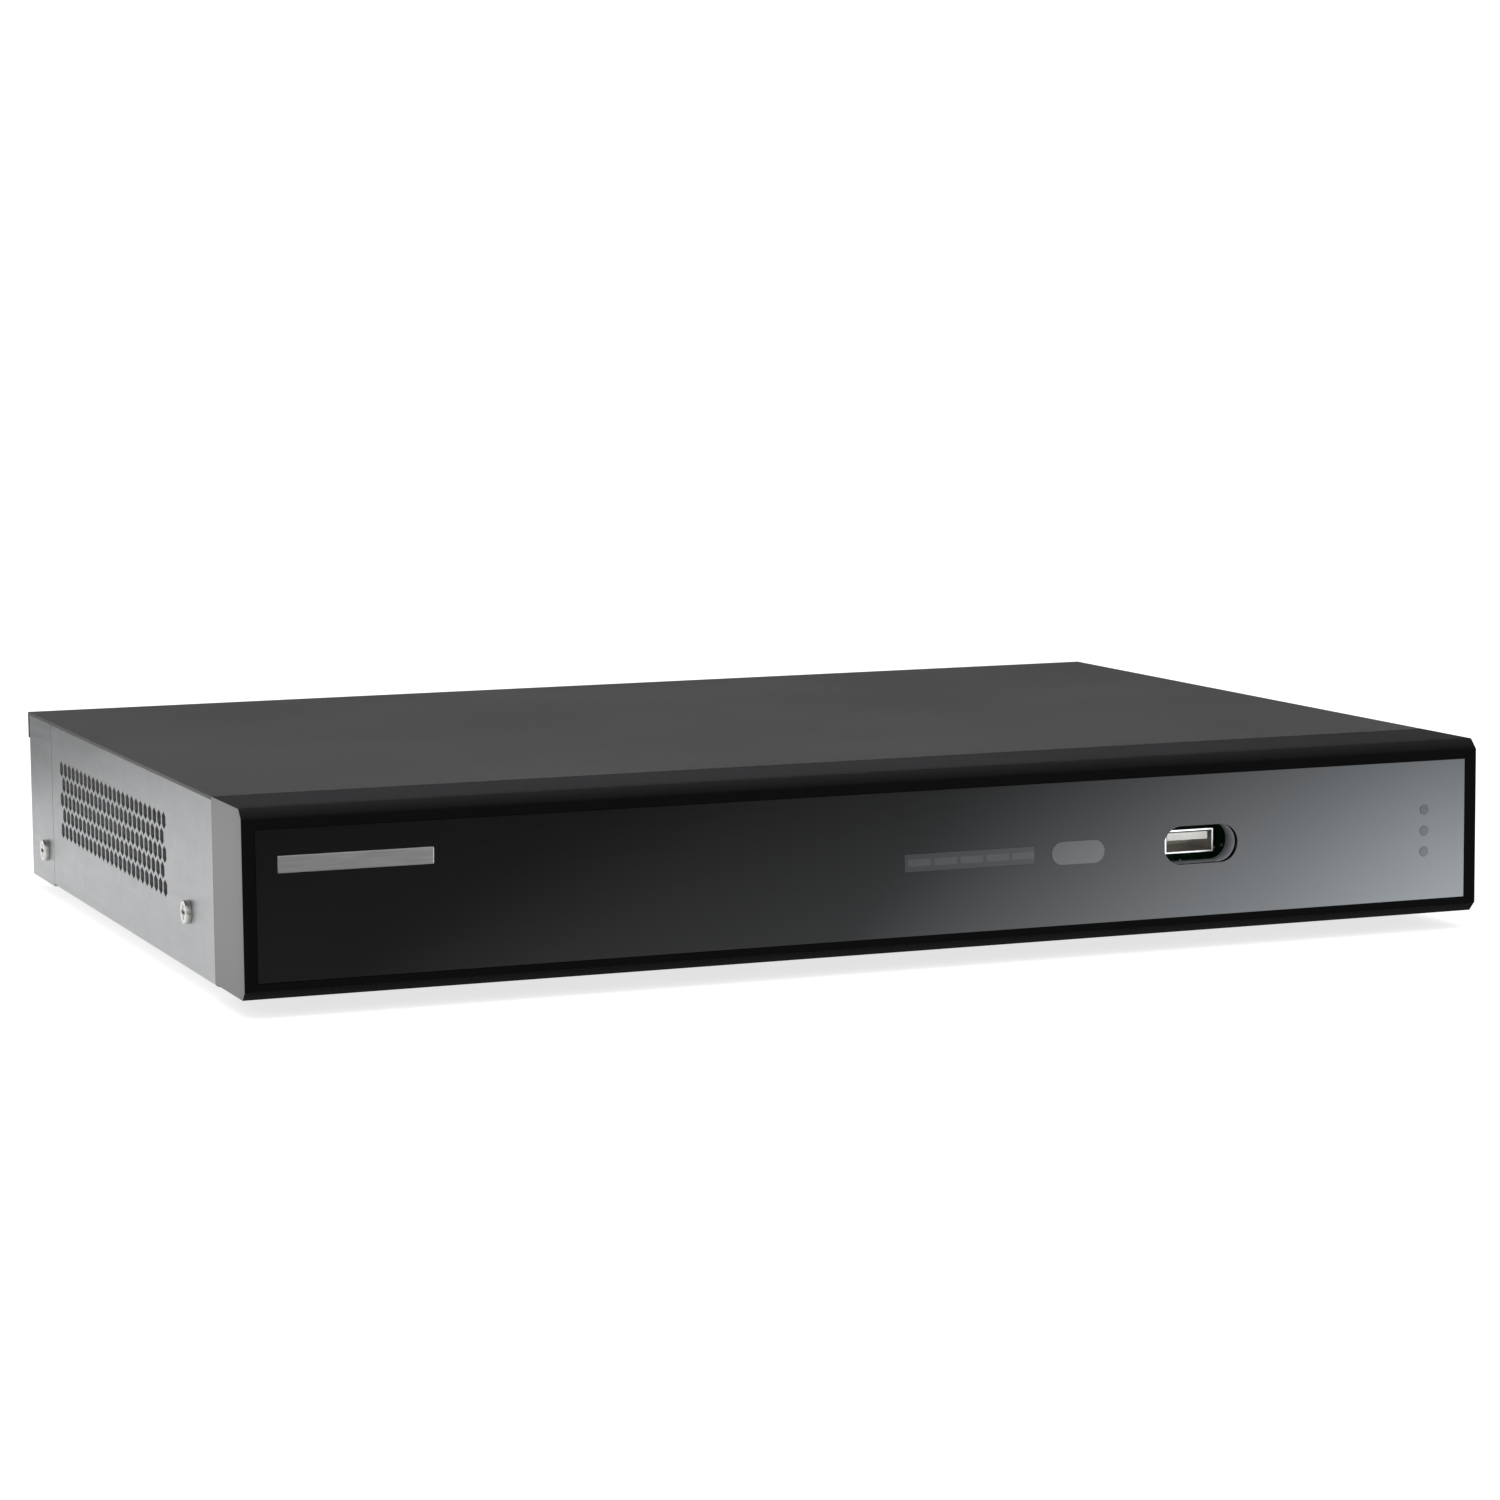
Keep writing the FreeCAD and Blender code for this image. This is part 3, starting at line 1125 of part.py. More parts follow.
def swung(start, end, across, z):
    """A box on the arm's own axes: along the arm from its pivot, and across it."""
    piece = doc.addObject("Part::Box", "Blade")
    piece.setExpression("Length", formula(f"{end} - ({start})"))
    piece.setExpression("Width", formula(f"({across[1]}) - ({across[0]})"))
    piece.setExpression("Height", formula(f"({z[1]}) - ({z[0]})"))
    piece.Placement = Placement(Vector(), Rotation(Vector(0, 0, 1), value("park_angle")))
    along, side_on = f"({start})", f"({across[0]})"
    cosine, sine = "cos(park_angle * 1deg)", "sin(park_angle * 1deg)"
    piece.setExpression("Placement.Base.x", formula(f"pivot + {along} * {cosine} - {side_on} * {sine}"))
    piece.setExpression("Placement.Base.y", formula(f"pivot_mid + {along} * {sine} + {side_on} * {cosine}"))
    piece.setExpression("Placement.Base.z", formula(z[0]))
    return piece


def hdd_magnets():
    """Two plates, under and over the coil."""
    middle = "(lower_disc + upper_disc + disc_thick) / 2"
    spans = (("cavity_low", f"{middle} - 1.6"), (f"{middle} + 1.6", f"{middle} + 4.6"))
    x, y = ("pivot - 4", "drive_right - 8"), ("drive_near + 4.9", "pivot_mid - 9")
    return sub_part("hdd_magnets", group(*[block(x, y, z) for z in spans]))


# ---------------------------------------------------------------------------------------------
# Rear sockets
# ---------------------------------------------------------------------------------------------
VIDEO_SPOTS = [(x, z) for x in VIDEO_COLUMNS for z in ("video_low", "video_high")]
TIPS = "rear + barrel_reach"


def video_sockets():
    """Eight bayonet sockets in two rows: a housing for each column, and four pieces to a socket."""
    inside = "rear - gauge"
    well_y = (f"{inside} - 6", f"{inside} + 1")
    housings, barrels, cores, contacts = [], [], [], []
    for column in VIDEO_COLUMNS:
        body = block(about(column, "7"), (f"{inside} - 13", inside), ("board_top", "video_high + 7"))
        wells = [rod("y", "barrel_bore + 0.15", well_y, (column, z)) for z in ("video_low", "video_high")]
        housings.append(cut(body, *wells))
    for spot in VIDEO_SPOTS:
        root = rod("y", "barrel_root", (inside, "rear + 2"), spot)
        body = rod("y", "barrel_radius", (inside, TIPS), spot)
        lug_place = (f"{TIPS} - lug_back", spot[1])
        lugs = rod("x", "lug_radius", about(spot[0], "barrel_radius + lug_reach"), lug_place)
        bore = rod("y", "barrel_bore", (f"{inside} - 1", f"{TIPS} + 1"), spot)
        barrels.append(cut(fuse(root, body, lugs), bore))
        core = rod("y", "barrel_bore - 0.05", (f"{inside} - 5.5", "rear + 3"), spot)
        nose = rod("y", "2.4", ("rear + 2.5", f"{TIPS} - 3.6"), spot)
        cores.append(cut(fuse(core, nose), rod("y", "1.1", (f"{inside} - 6", TIPS), spot)))
        pin = rod("y", "1.05", (f"{inside} - 5.5", f"{TIPS} - 4.2"), spot)
        contacts.append(cut(pin, rod("y", "0.5", ("rear + 4", TIPS), spot)))
    sub_part("bnc_housings", group(*housings))
    sub_part("bnc_barrels", group(*barrels))
    sub_part("bnc_insulators", group(*cores))
    return sub_part("bnc_contacts", group(*contacts))


def audio_sockets():
    inside = "rear - gauge"
    body = block(about("audio_x", "5.2"), (f"{inside} - 12", inside), ("board_top", "audio_high + 6"))
    spots = [("audio_x", z) for z in ("audio_low", "audio_high")]
    wells = [rod("y", "2.4", (f"{inside} - 8", f"{inside} + 1"), spot) for spot in spots]
    collars, sleeves = [], []
    for spot in spots:
        collars.append(tube("y", "4.25", "3.2", (inside, "rear + 2"), spot))
        sleeves.append(tube("y", "3.15", "2.45", (inside, "rear + 9.5"), spot))
    sub_part("rca_housing", fuse(cut(body, *wells), *collars))
    return sub_part("rca_sleeves", group(*sleeves))


def monitor_socket():
    """A fifteen-pin socket: a shell with a flange, a moulded insert, and two hexagon nuts."""
    inside, spot = "rear - gauge", ("monitor_x", "monitor_z")
    flange = block(about("monitor_x", "15.4"), (f"{inside} - 1", inside), about("monitor_z", "6.2"))
    nose = block(about("monitor_x", "8.3"), (f"{inside} - 1", "rear + 5.2"), about("monitor_z", "4.1"))
    hollow = block(about("monitor_x", "7.9"), (f"{inside} - 2", "rear + 6"), about("monitor_z", "3.7"))
    hole_y = (f"{inside} - 2", f"{inside} + 1")
    holes = [rod("y", "screw_hole", hole_y, (f"monitor_x {a} monitor_nut", spot[1])) for a in "-+"]
    sub_part("vga_shell", cut(fuse(flange, nose), hollow, *holes))
    back_y = (f"{inside} - 13", f"{inside} - 1")
    back = block(about("monitor_x", "14"), back_y, ("board_top", "monitor_z + 6"))
    tongue = block(about("monitor_x", "7.8"), (f"{inside} - 1.5", "rear + 4.6"), about("monitor_z", "3.6"))
    pins = []
    for row, shift in ((-1, 0), (0, 1), (1, 0)):
        for k in range(5):
            x = f"monitor_x + ({k} - 2) * 2.3 + {shift} * 1.1 - 0.5"
            pins.append(rod("y", "0.45", ("rear", "rear + 5"), (x, f"monitor_z + {row} * 1.98")))
    nut_y = (f"{inside} - 8", inside)
    nut_wells = [rod("y", "screw_hole", nut_y, (f"monitor_x {a} monitor_nut", spot[1])) for a in "-+"]
    sub_part("vga_insert", cut(fuse(back, tongue), *pins, *nut_wells))
    nuts = []
    for sign in "-+":
        place = (f"monitor_x {sign} monitor_nut", "monitor_z")
        nut = hexagon("y", "4.8", ("rear", "rear + 4.8"), place)
        shank = rod("y", "screw_radius", (f"{inside} - 7", "rear + 1"), place)
        nuts.append(cut(fuse(nut, shank), rod("y", "1.25", ("rear + 0.5", "rear + 6"), place)))
    return sub_part("vga_jacknuts", group(*nuts))


def display_socket():
    x, z = "display_x", "display_z"
    y = ("rear - gauge - 10", "rear + 0.6")
    right = [("7.4", "2.7"), ("7.4", "-0.6"), ("5.6", "-2.6")]
    outline = right + [(f"-{a}", b) for a, b in reversed(right)]
    body = new_body("DisplayShell")
    pad(body, "XZ", y, [(f"{x} + {a}", f"{z} + {b}") for a, b in outline])
    hollow = [(f"{x} + {a} * 0.94", f"{z} + {b} * 0.86") for a, b in outline]
    pocket(body, "XZ", (f"{y[0]} + 1.5", f"{y[1]} + 1"), hollow)
    sub_part("hdmi_shell", body)
    tongue = block(about(x, "5.8"), (f"{y[0]} + 1.5", f"{y[1]} - 0.8"), about(z, "0.7"))
    return sub_part("hdmi_tongue", tongue)


def network_socket():
    x, low, high = "network_x", "board_top", "board_top + 13.5"
    y = ("rear - 21", "rear + 0.6")
    shell = block(about(x, "8"), y, (low, high))
    hollow = block(about(x, "7.6"), (f"{y[0]} + 0.4", f"{y[1]} + 1"), (f"{low} + 0.4", f"{high} - 0.4"))
    sub_part("lan_shell", cut(shell, hollow))
    inner = block(about(x, "7.55"), (f"{y[0]} + 0.4", f"{y[1]} - 0.3"), (f"{low} + 0.4", f"{high} - 0.4"))
    mouth = ("rear - 12", "rear + 2")
    bay = block(about(x, "5.9"), mouth, (f"{low} + 2.6", f"{low} + 10.4"))
    latch = block(about(x, "3.1"), mouth, (f"{low} + 10.2", f"{low} + 12.2"))
    lamps = [block(about(f"{x} {a} 5.4", "1.4"), mouth, (f"{high} - 2.8", f"{high} - 1.2")) for a in "-+"]
    return sub_part("lan_insert", cut(inner, bay, latch, *lamps))


def terminal_block():
    """A header on the board, and a plug with four clamp screws that slides out of it."""
    x, low = "terminal_x", "board_top"
    half, inside = "9", "rear - gauge"
    shell = block(about(x, half), (f"{inside} - 9", f"{inside}"), (low, f"{low} + 9"))
    hollow_y, pin_y = (f"{inside} - 7", f"{inside} + 1"), (f"{inside} - 8", f"{inside} - 1.5")
    hollow = block(about(x, f"{half} - 0.9"), hollow_y, (f"{low} + 0.9", f"{low} + 8.1"))
    places = [f"{x} + ({k} - 1.5) * terminal_pitch" for k in range(4)]
    pins = [block(about(p, "0.5"), pin_y, about(f"{low} + 4.2", "0.5")) for p in places]
    sub_part("terminal_header", fuse(cut(shell, hollow), *pins))
    nose = block(about(x, f"{half} - 1.2"), (f"{inside} - 6.8", "rear + 1"), (f"{low} + 1.2", f"{low} + 7.8"))
    body = block(about(x, f"{half} - 0.6"), ("rear + 0.3", "rear + 9"), (f"{low} + 0.3", f"{low} + 11.5"))
    tools = []
    for p in places:
        pin_hole = (f"{inside} - 7.5", f"{inside} - 1")
        tools.append(block(about(p, "0.8"), pin_hole, about(f"{low} + 4.2", "0.8")))
        tools.append(block(about(p, "1.2"), ("rear + 3.5", "rear + 10"), (f"{low} + 2.2", f"{low} + 5.4")))
        tools.append(rod("z", "1.45", (f"{low} + 7", f"{low} + 12"), (p, "rear + 5.5")))
    sub_part("terminal_plug", cut(fuse(nose, body), *tools))
    screws = []
    for p in places:
        clamp = rod("z", "1.4", (f"{low} + 7", f"{low} + 11"), (p, "rear + 5.5"))
        slot = block(about(p, "1.5"), about("rear + 5.5", "0.25"), (f"{low} + 10.2", f"{low} + 12"))
        screws.append(cut(clamp, slot))
    return sub_part("terminal_screws", group(*screws))


def supply_socket():
    x, z, inside = "supply_x", "supply_z", "rear - gauge"
    body = block(about(x, "4.5"), (f"{inside} - 11", inside), ("board_top", "board_top + 11"))
    collar = rod("y", "4.1", (inside, "rear + 0.7"), (x, z))
    bore = rod("y", "3.2", (f"{inside} - 9", "rear + 2"), (x, z))
    pin = rod("y", "1.05", (f"{inside} - 9", "rear - 1"), (x, z))
    return sub_part("supply_jack", fuse(cut(fuse(body, collar), bore), pin))


def power_switch():
    """A housing that snaps into the panel, with a rocker that tilts about X on two stubs."""
    x, z, inside = "switch_x", "switch_z", "rear - gauge"
    depth = f"{inside} - 14"
    body = block(about(x, "9.5"), (depth, "rear + 0.5"), about(z, "6.4"))
    flange = block(about(x, "10.5"), ("rear", "rear + 1.6"), about(z, "7.5"))
    hollow = block(about(x, "rocker_half + 0.3"), (f"{depth} + 1.5", "rear + 3"), about(z, "5.4"))
    pivot = ("switch_pivot", z)
    sockets = rod("x", "rocker_pin + slip", about(x, "rocker_half + 1.3"), pivot)
    blade_y = (f"{depth} - 5", depth)
    blades = [block(about(f"{x} {sign} 5", "2.4"), blade_y, about(z, "0.4")) for sign in "-+"]
    sub_part("switch_housing", cut(fuse(body, flange, *blades), hollow, sockets))
    return rocker(x, pivot)


def rocker(x, pivot):
    """A rounded V across the pivot: at rest its lower half is pressed in."""
    y, z = pivot
    drum = rod("x", "rocker_tall + 0.4", about(x, "rocker_half"), pivot)
    stubs = rod("x", "rocker_pin", about(x, "rocker_half + 1.1"), pivot)
    cap = block(about(x, "rocker_half"), (f"{y} + 2", f"{y} + 7.6"), about(z, "rocker_tall"))
    hollow = rod("x", "14", about(x, "rocker_half - 0.8"), (f"{y} + 20", z))
    tilted = fuse(drum, stubs, cut(cap, hollow))
    turn = Rotation(Vector(1, 0, 0), value("rocker_tilt"))
    tilted.Placement = Placement(Vector(), turn, Vector(0, value(y), value(z)))
    return sub_part("power_rocker", tilted)


def ground_screw():
    """The earth screw, with the washer under its head."""
    place = ("ground_x", "ground_z")
    washer = tube("y", "4.2", "screw_hole", ("rear", "rear + 0.6"), place)
    return sub_part("ground_screw", group(washer, screw("y", "+", "rear + 0.6", place, "5", head="3.2")))


def check_document():
    """Stops if any object failed, or any finished piece isn't a sound shape."""
    for item in doc.Objects:
        if {"Invalid", "Error"} & set(item.State):
            raise ValueError(f"{item.Label} ({item.TypeId}) failed: {item.State}")
    for piece in SUB_PARTS:
        if piece.Shape.isNull() or not piece.Shape.isValid() or not piece.Shape.Solids:
            raise ValueError(f"{piece.Label} has no sound shape")


MAKERS = (
    base_tray, rear_panel, top_cover, front_bezel, front_fascia, front_strips, ir_window, status_light_pipes,
    rubber_feet, underside_screws, side_screws, cover_screws, front_board, front_board_parts, bus_sockets,
    main_board, board_standoffs, board_screws, board_chips, power_parts, heatsink, fan_frame,
    fan_rotor, fan_lead, coin_cell, board_sockets, drive_leads, front_ribbon, hdd_casting, hdd_lid, hdd_board,
    hdd_discs, hdd_arms, hdd_magnets, video_sockets, audio_sockets, monitor_socket, display_socket,
    network_socket, terminal_block, supply_socket, power_switch, ground_screw,
)

for make in MAKERS:
    make()
doc.recompute()
check_document()
os.makedirs(OUT, exist_ok=True)
for piece in SUB_PARTS:
    piece.Shape.exportStep(f"{OUT}/{piece.Label}.step")
print(len(SUB_PARTS), "pieces")
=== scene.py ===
import json
import math

import bpy
from bpy.props import FloatProperty, FloatVectorProperty, PointerProperty
from mathutils import Matrix, Vector


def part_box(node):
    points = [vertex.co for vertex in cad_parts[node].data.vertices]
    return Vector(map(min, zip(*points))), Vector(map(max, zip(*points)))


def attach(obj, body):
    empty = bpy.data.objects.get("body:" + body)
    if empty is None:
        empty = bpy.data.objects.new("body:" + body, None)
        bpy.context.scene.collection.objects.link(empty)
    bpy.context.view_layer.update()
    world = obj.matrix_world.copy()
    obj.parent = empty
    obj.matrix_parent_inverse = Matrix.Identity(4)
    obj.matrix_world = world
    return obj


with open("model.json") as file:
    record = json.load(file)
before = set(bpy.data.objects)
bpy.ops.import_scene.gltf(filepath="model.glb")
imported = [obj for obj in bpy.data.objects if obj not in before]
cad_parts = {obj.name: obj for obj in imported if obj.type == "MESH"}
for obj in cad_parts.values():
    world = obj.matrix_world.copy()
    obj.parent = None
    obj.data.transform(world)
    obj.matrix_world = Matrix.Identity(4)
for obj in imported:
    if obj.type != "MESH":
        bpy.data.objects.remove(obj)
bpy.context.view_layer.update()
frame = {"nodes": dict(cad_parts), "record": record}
NODES = frame["nodes"]

bl_info = {
    "name": "Video Recorder",
    "version": (1, 0, 0),
    "blender": (4, 5, 0),
    "location": "View3D > Sidebar > Recorder",
    "description": "Finishes, fine parts and studio for a compact digital video recorder",
    "category": "Object",
}

MM = 0.001

# The CAD nodes whose sharp edges are rounded
MOULDED = ("front_bezel", "rubber_feet", "switch_housing", "power_rocker", "terminal_plug", "supply_jack")
METAL = (
    "top_cover", "nameplate", "bnc_barrels", "rca_sleeves",
    "side_screws", "underside_screws", "cover_screws",
)

MADE = {}  # The name of the material made for each slot


# ---------------------------------------------------------------------------------------------
# Shader maths
# ---------------------------------------------------------------------------------------------
class Link:
    """One output of a finish's nodes. Python's operators on it add Math nodes."""

    def __init__(self, finish, socket):
        self.finish = finish
        self.socket = socket

    def _math(self, operation, first, second):
        return self.finish.node("ShaderNodeMath", {0: first, 1: second}, {"operation": operation})

    def __add__(self, other):
        return self._math("ADD", self, other)

    def __radd__(self, other):
        return self._math("ADD", other, self)

    def __sub__(self, other):
        return self._math("SUBTRACT", self, other)

    def __rsub__(self, other):
        return self._math("SUBTRACT", other, self)

    def __mul__(self, other):
        return self._math("MULTIPLY", self, other)

    def __rmul__(self, other):
        return self._math("MULTIPLY", other, self)

    def __truediv__(self, other):
        return self._math("DIVIDE", self, other)

    def __gt__(self, other):
        return self._math("GREATER_THAN", self, other)

    def __lt__(self, other):
        return self._math("LESS_THAN", self, other)

    def __mod__(self, other):
        return self._math("FLOORED_MODULO", self, other)


class Finish:
    """A material on the Principled shader. Constants sit on its sockets, and links vary them."""

    def __init__(self, name, **constants):
        self.material = bpy.data.materials.new(name)
        self.material.use_nodes = True
        self.tree = self.material.node_tree
        self.shader = self.tree.nodes["Principled BSDF"]
        for socket, value in constants.items():
            self.set(socket.replace("_", " ").title().replace("Ior", "IOR"), value)
        self.place = self.node("ShaderNodeTexCoord", out="Object")

    def node(self, kind, inputs=None, settings=None, out=0):
        """Adds a node: settings first, then the values or links of its inputs."""
        made = self.tree.nodes.new(kind)
        for name, value in (settings or {}).items():
            if name == "stops":
                self._stops(made.color_ramp, value)
            else:
                setattr(made, name, value)
        for name, value in (inputs or {}).items():
            self._plug(made.inputs[name], value)
        return Link(self, made.outputs[out])

    def _stops(self, ramp, stops):
        while len(ramp.elements) < len(stops):
            ramp.elements.new(1.0)
        for element, (place, level) in zip(ramp.elements, stops):
            element.position = place
            element.color = (level, level, level, 1.0)

    def _plug(self, socket, value):
        if isinstance(value, Link):
            self.tree.links.new(value.socket, socket)
        elif socket.type == "RGBA" and len(value) == 3:
            socket.default_value = (*value, 1.0)
        else:
            socket.default_value = value

    def set(self, socket, value):
        """Puts a constant or a link on one of the shader's own sockets."""
        self._plug(self.shader.inputs[socket], value)
        return self

    def at(self, stretch):
        """The object's own coordinates, stretched."""
        return self.node("ShaderNodeMapping", {"Vector": self.place, "Scale": stretch})

    def noise(self, size_mm, detail=2.0, stretch=(1, 1, 1)):
        """Cloudy values from 0 to 1, with features of a size in millimetres."""
        inputs = {"Vector": self.at(stretch), "Scale": 1.0 / (size_mm * MM), "Detail": detail}
        return self.node("ShaderNodeTexNoise", inputs)

    def cells(self, size_mm, out="Distance"):
        """Cells of a size in millimetres: their distance or their colour."""
        inputs = {"Vector": self.place, "Scale": 1.0 / (size_mm * MM)}
        return self.node("ShaderNodeTexVoronoi", inputs, out=out)

    def axis(self, name):
        """One of the object's coordinates, in metres."""
        return self.node("ShaderNodeSeparateXYZ", {0: self.place}, out=name)

    def ramp(self, factor, *stops):
        """A grey that goes through stops, each a place and a level."""
        return self.node("ShaderNodeValToRGB", {0: factor}, {"stops": stops})

    def span(self, factor, low, high):
        """A factor of 0 to 1 spread from low to high."""
        return factor * (high - low) + low

    def mix(self, factor, first, second):
        """A colour between two colours."""
        inputs = {0: factor, 6: first, 7: second}
        return self.node("ShaderNodeMix", inputs, {"data_type": "RGBA"}, out=2)

    def colour(self, value):
        return self.set("Base Color", value)

    def rough(self, value):
        return self.set("Roughness", value)

    def relief(self, height, depth_mm, strength):
        """Bumps of a depth in millimetres."""
        inputs = {"Height": height, "Distance": depth_mm * MM, "Strength": strength}
        return self.set("Normal", self.node("ShaderNodeBump", inputs))


def shade(colour, factor):
    """A colour made lighter or darker."""
    return tuple(min(1.0, part * factor) for part in colour)


# ---------------------------------------------------------------------------------------------
# Finishes, one for each material slot of the record. A noise's size and a relief's depth are in
# millimetres, and a stretch below 1 draws a pattern out along that axis.
# ---------------------------------------------------------------------------------------------
DULL_FACE = 0.4 * MM  # Depth of the bezel's dull face
PAINTED_SHADE_DEPTH = 7.0 * MM  # Depth over which the painted shade on the bezel's front fades from its darkest to the bezel's own colour
PORT_LEDGE = 1.5 * MM  # Depth at which the painted reflection inside the front port begins
PORT_SIDES = (-18.0 * MM, 6.0 * MM)  # The painted reflection in the port's inside, across from its socket's right end
PORT_LEVELS = (-10.0 * MM, 3.0 * MM)  # The painted reflection in the port's inside, up from its socket's top
PORT_PAINTED_REFLECTION, FRONT_PAINTED_SHADE = 9.0, 0.14  # Their share of the bezel's own colour: paler for the painted reflection in the port, darker for the painted shade at the front
WIRE_PITCH = 1.27 * MM  # From one wire of the front ribbon to the next
CAN_TOP = 0.3 * MM  # Bare metal at the top of a can
LEGEND_MARKS = 5.0
TRACKS_PER_METRE = 260.0


def zinc_steel(look):
    """Zinc-coated sheet: faint crystals, rolling lines and a soft sheen."""
    finish = Finish("zinc_steel", metallic=0.85)
    crystals = finish.cells(5.0, out="Color")
    lines = finish.noise(1.1, 3.0, stretch=(0.04, 0.04, 1.0))
    cloud = finish.noise(28.0, 3.0)
    facets = finish.node("ShaderNodeRGBToBW", {0: crystals})
    tone = finish.mix(facets, shade(look.zinc, 0.94), shade(look.zinc, 1.05))
    finish.colour(finish.mix(cloud * 0.5, tone, shade(look.zinc, 0.88)))
    finish.rough(finish.span(lines, 0.3, 0.42) + cloud * 0.05)
    return finish.relief(lines, 0.006, 0.35)


def powder_coat(look):
    """Black powder coat: a fine orange peel over slow swells, with faint clouds."""
    finish = Finish("powder_coat", specular_ior_level=0.25)
    peel = finish.noise(0.55, 2.0)
    swell = finish.noise(3.2, 1.0)
    cloud = finish.noise(55.0, 2.0)
    finish.colour(finish.mix(cloud, shade(look.cover, 0.88), shade(look.cover, 1.15)))
    finish.rough(finish.span(peel, 0.42, 0.6))
    return finish.relief(peel + swell * 0.8, 0.03, 0.5)


def bezel_plastic(look):
    """Moulded black: dull on its face, polished on its sides and top, with painted shade darkening its
    front and a painted reflection making the front port's inside paler.
    """
    finish = Finish("bezel_plastic", specular_ior_level=0.0, coat_roughness=0.16)
    grain = finish.noise(0.28, 2.0)
    cloud = finish.noise(40.0, 2.0)
    across, up = finish.axis("X"), finish.axis("Z")
    depth = finish.axis("Y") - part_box("front_bezel")[0].y
    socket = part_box("usb_shells")[1]
    left, right = (socket.x + side for side in PORT_SIDES)
    bottom, top = (socket.z + level for level in PORT_LEVELS)
    # Painted reflection: the port's inside is made many times paler than the bezel, in place of light
    # reflected by its inner walls
    port_reflection_mask = (across > left) * (across < right) * (up > bottom) * (up < top) * (depth > PORT_LEDGE)
    black = finish.mix(cloud, shade(look.bezel, 0.85), shade(look.bezel, 1.15))
    # Painted shade: the bezel's front is darkened to a small share of its colour, fading to its own
    # colour a few millimetres back
    front_painted_shade = finish.mix(depth / PAINTED_SHADE_DEPTH, shade(look.bezel, FRONT_PAINTED_SHADE), black)
    finish.colour(finish.mix(port_reflection_mask, front_painted_shade, shade(look.bezel, PORT_PAINTED_REFLECTION)))
    finish.rough(finish.span(grain, 0.42, 0.5))
    finish.set("Coat Weight", (depth > DULL_FACE) * 0.75)
    return finish.relief(grain, 0.01, 0.3)


def gloss_black(look):
    """Polished black with hair-fine wiping marks."""
    finish = Finish("gloss_black", specular_ior_level=0.5)
    wipes = finish.noise(0.9, 3.0, stretch=(0.05, 1.0, 0.9))
    cloud = finish.noise(34.0, 2.0)
    finish.colour(finish.mix(cloud, shade(look.fascia, 0.85), shade(look.fascia, 1.2)))
    finish.rough(finish.span(wipes, 0.1, 0.16) + cloud * 0.03)
    return finish.relief(cloud, 0.004, 0.25)


def satin_silver(look):
    """Silver bar, brushed along its length."""
    finish = Finish("satin_silver", metallic=0.9)
    brush = finish.noise(0.3, 3.0, stretch=(0.03, 1.0, 1.0))
    finish.colour(finish.mix(brush, (0.27, 0.27, 0.275), (0.47, 0.47, 0.47)))
    finish.rough(finish.span(brush, 0.28, 0.42))
    return finish.relief(brush, 0.008, 0.4)


def moulding(name, colour, rough, grain, depth=0.008, **constants):
    """A plain moulded plastic or rubber with its own grain and a little unevenness."""
    finish = Finish(name, **constants)
    fine = finish.noise(grain, 2.0)
    cloud = finish.noise(9.0, 2.0)
    finish.colour(finish.mix(cloud, shade(colour, 0.86), shade(colour, 1.14)))
    finish.rough(finish.span(fine, rough - 0.06, rough + 0.06))
    return finish.relief(fine, depth, 0.4)


def plating(name, colour, rough, lines=(1, 1, 1)):
    """A plated or bare metal with fine lines and handling marks."""
    finish = Finish(name, metallic=1.0)
    streaks = finish.noise(0.35, 3.0, stretch=lines)
    smudge = finish.noise(6.0, 3.0)
    finish.colour(finish.mix(smudge, shade(colour, 0.9), shade(colour, 1.06)))
    finish.rough(finish.span(streaks, rough - 0.06, rough + 0.05) + smudge * 0.08)
    return finish.relief(streaks, 0.004, 0.3)


def print_grey(look):
    """A dull strip with five blank marks, lighter than the strip."""
    finish = Finish("print_grey")
    low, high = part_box("legend_plate")
    along = (finish.axis("X") - low.x) / (high.x - low.x)
    up = (finish.axis("Z") - low.z) / (high.z - low.z)
    mark = (((along * LEGEND_MARKS) % 1.0) > 0.14) * (up > 0.3) * (up < 0.7)
    finish.colour(finish.mix(mark, look.legend, shade(look.legend, 2.4)))
    return finish.rough(finish.span(finish.noise(1.2), 0.3, 0.42))


def dark_lens(look):
    """The tinted window of the remote receiver, with a clear coat."""
    finish = Finish("dark_lens", coat_weight=0.8, coat_roughness=0.03)
    cloud = finish.noise(7.0)
    finish.colour(finish.mix(cloud, (0.010, 0.009, 0.011), (0.022, 0.02, 0.024)))
    return finish.rough(finish.span(cloud, 0.08, 0.16))


def laminate(look):
    """Green solder mask over copper tracks, with pale pads."""
    finish = Finish("board_laminate", coat_weight=0.3, coat_roughness=0.25)
    inputs = {"Vector": finish.place, "Scale": TRACKS_PER_METRE, "Mortar Size": 0.035}
    tracks = finish.node("ShaderNodeRGBToBW", {0: finish.node("ShaderNodeTexBrick", inputs)})
    pads = finish.cells(2.6) < 0.16
    mask = finish.mix(tracks, shade(look.board, 0.55), shade(look.board, 1.2))
    finish.colour(finish.mix(pads, mask, (0.62, 0.58, 0.44)))
    finish.rough(finish.span(finish.noise(4.0), 0.3, 0.42))
    return finish.relief(tracks, 0.03, 0.5)


def can_sleeve(look):
    """Dark sleeves with bare metal tops."""
    finish = Finish("can_sleeve")
    top = finish.axis("Z") > (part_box("power_parts")[1].z - CAN_TOP)
    finish.colour(finish.mix(top, (0.02, 0.022, 0.045), (0.6, 0.6, 0.6)))
    return finish.rough(finish.span(finish.noise(1.5), 0.3, 0.4))


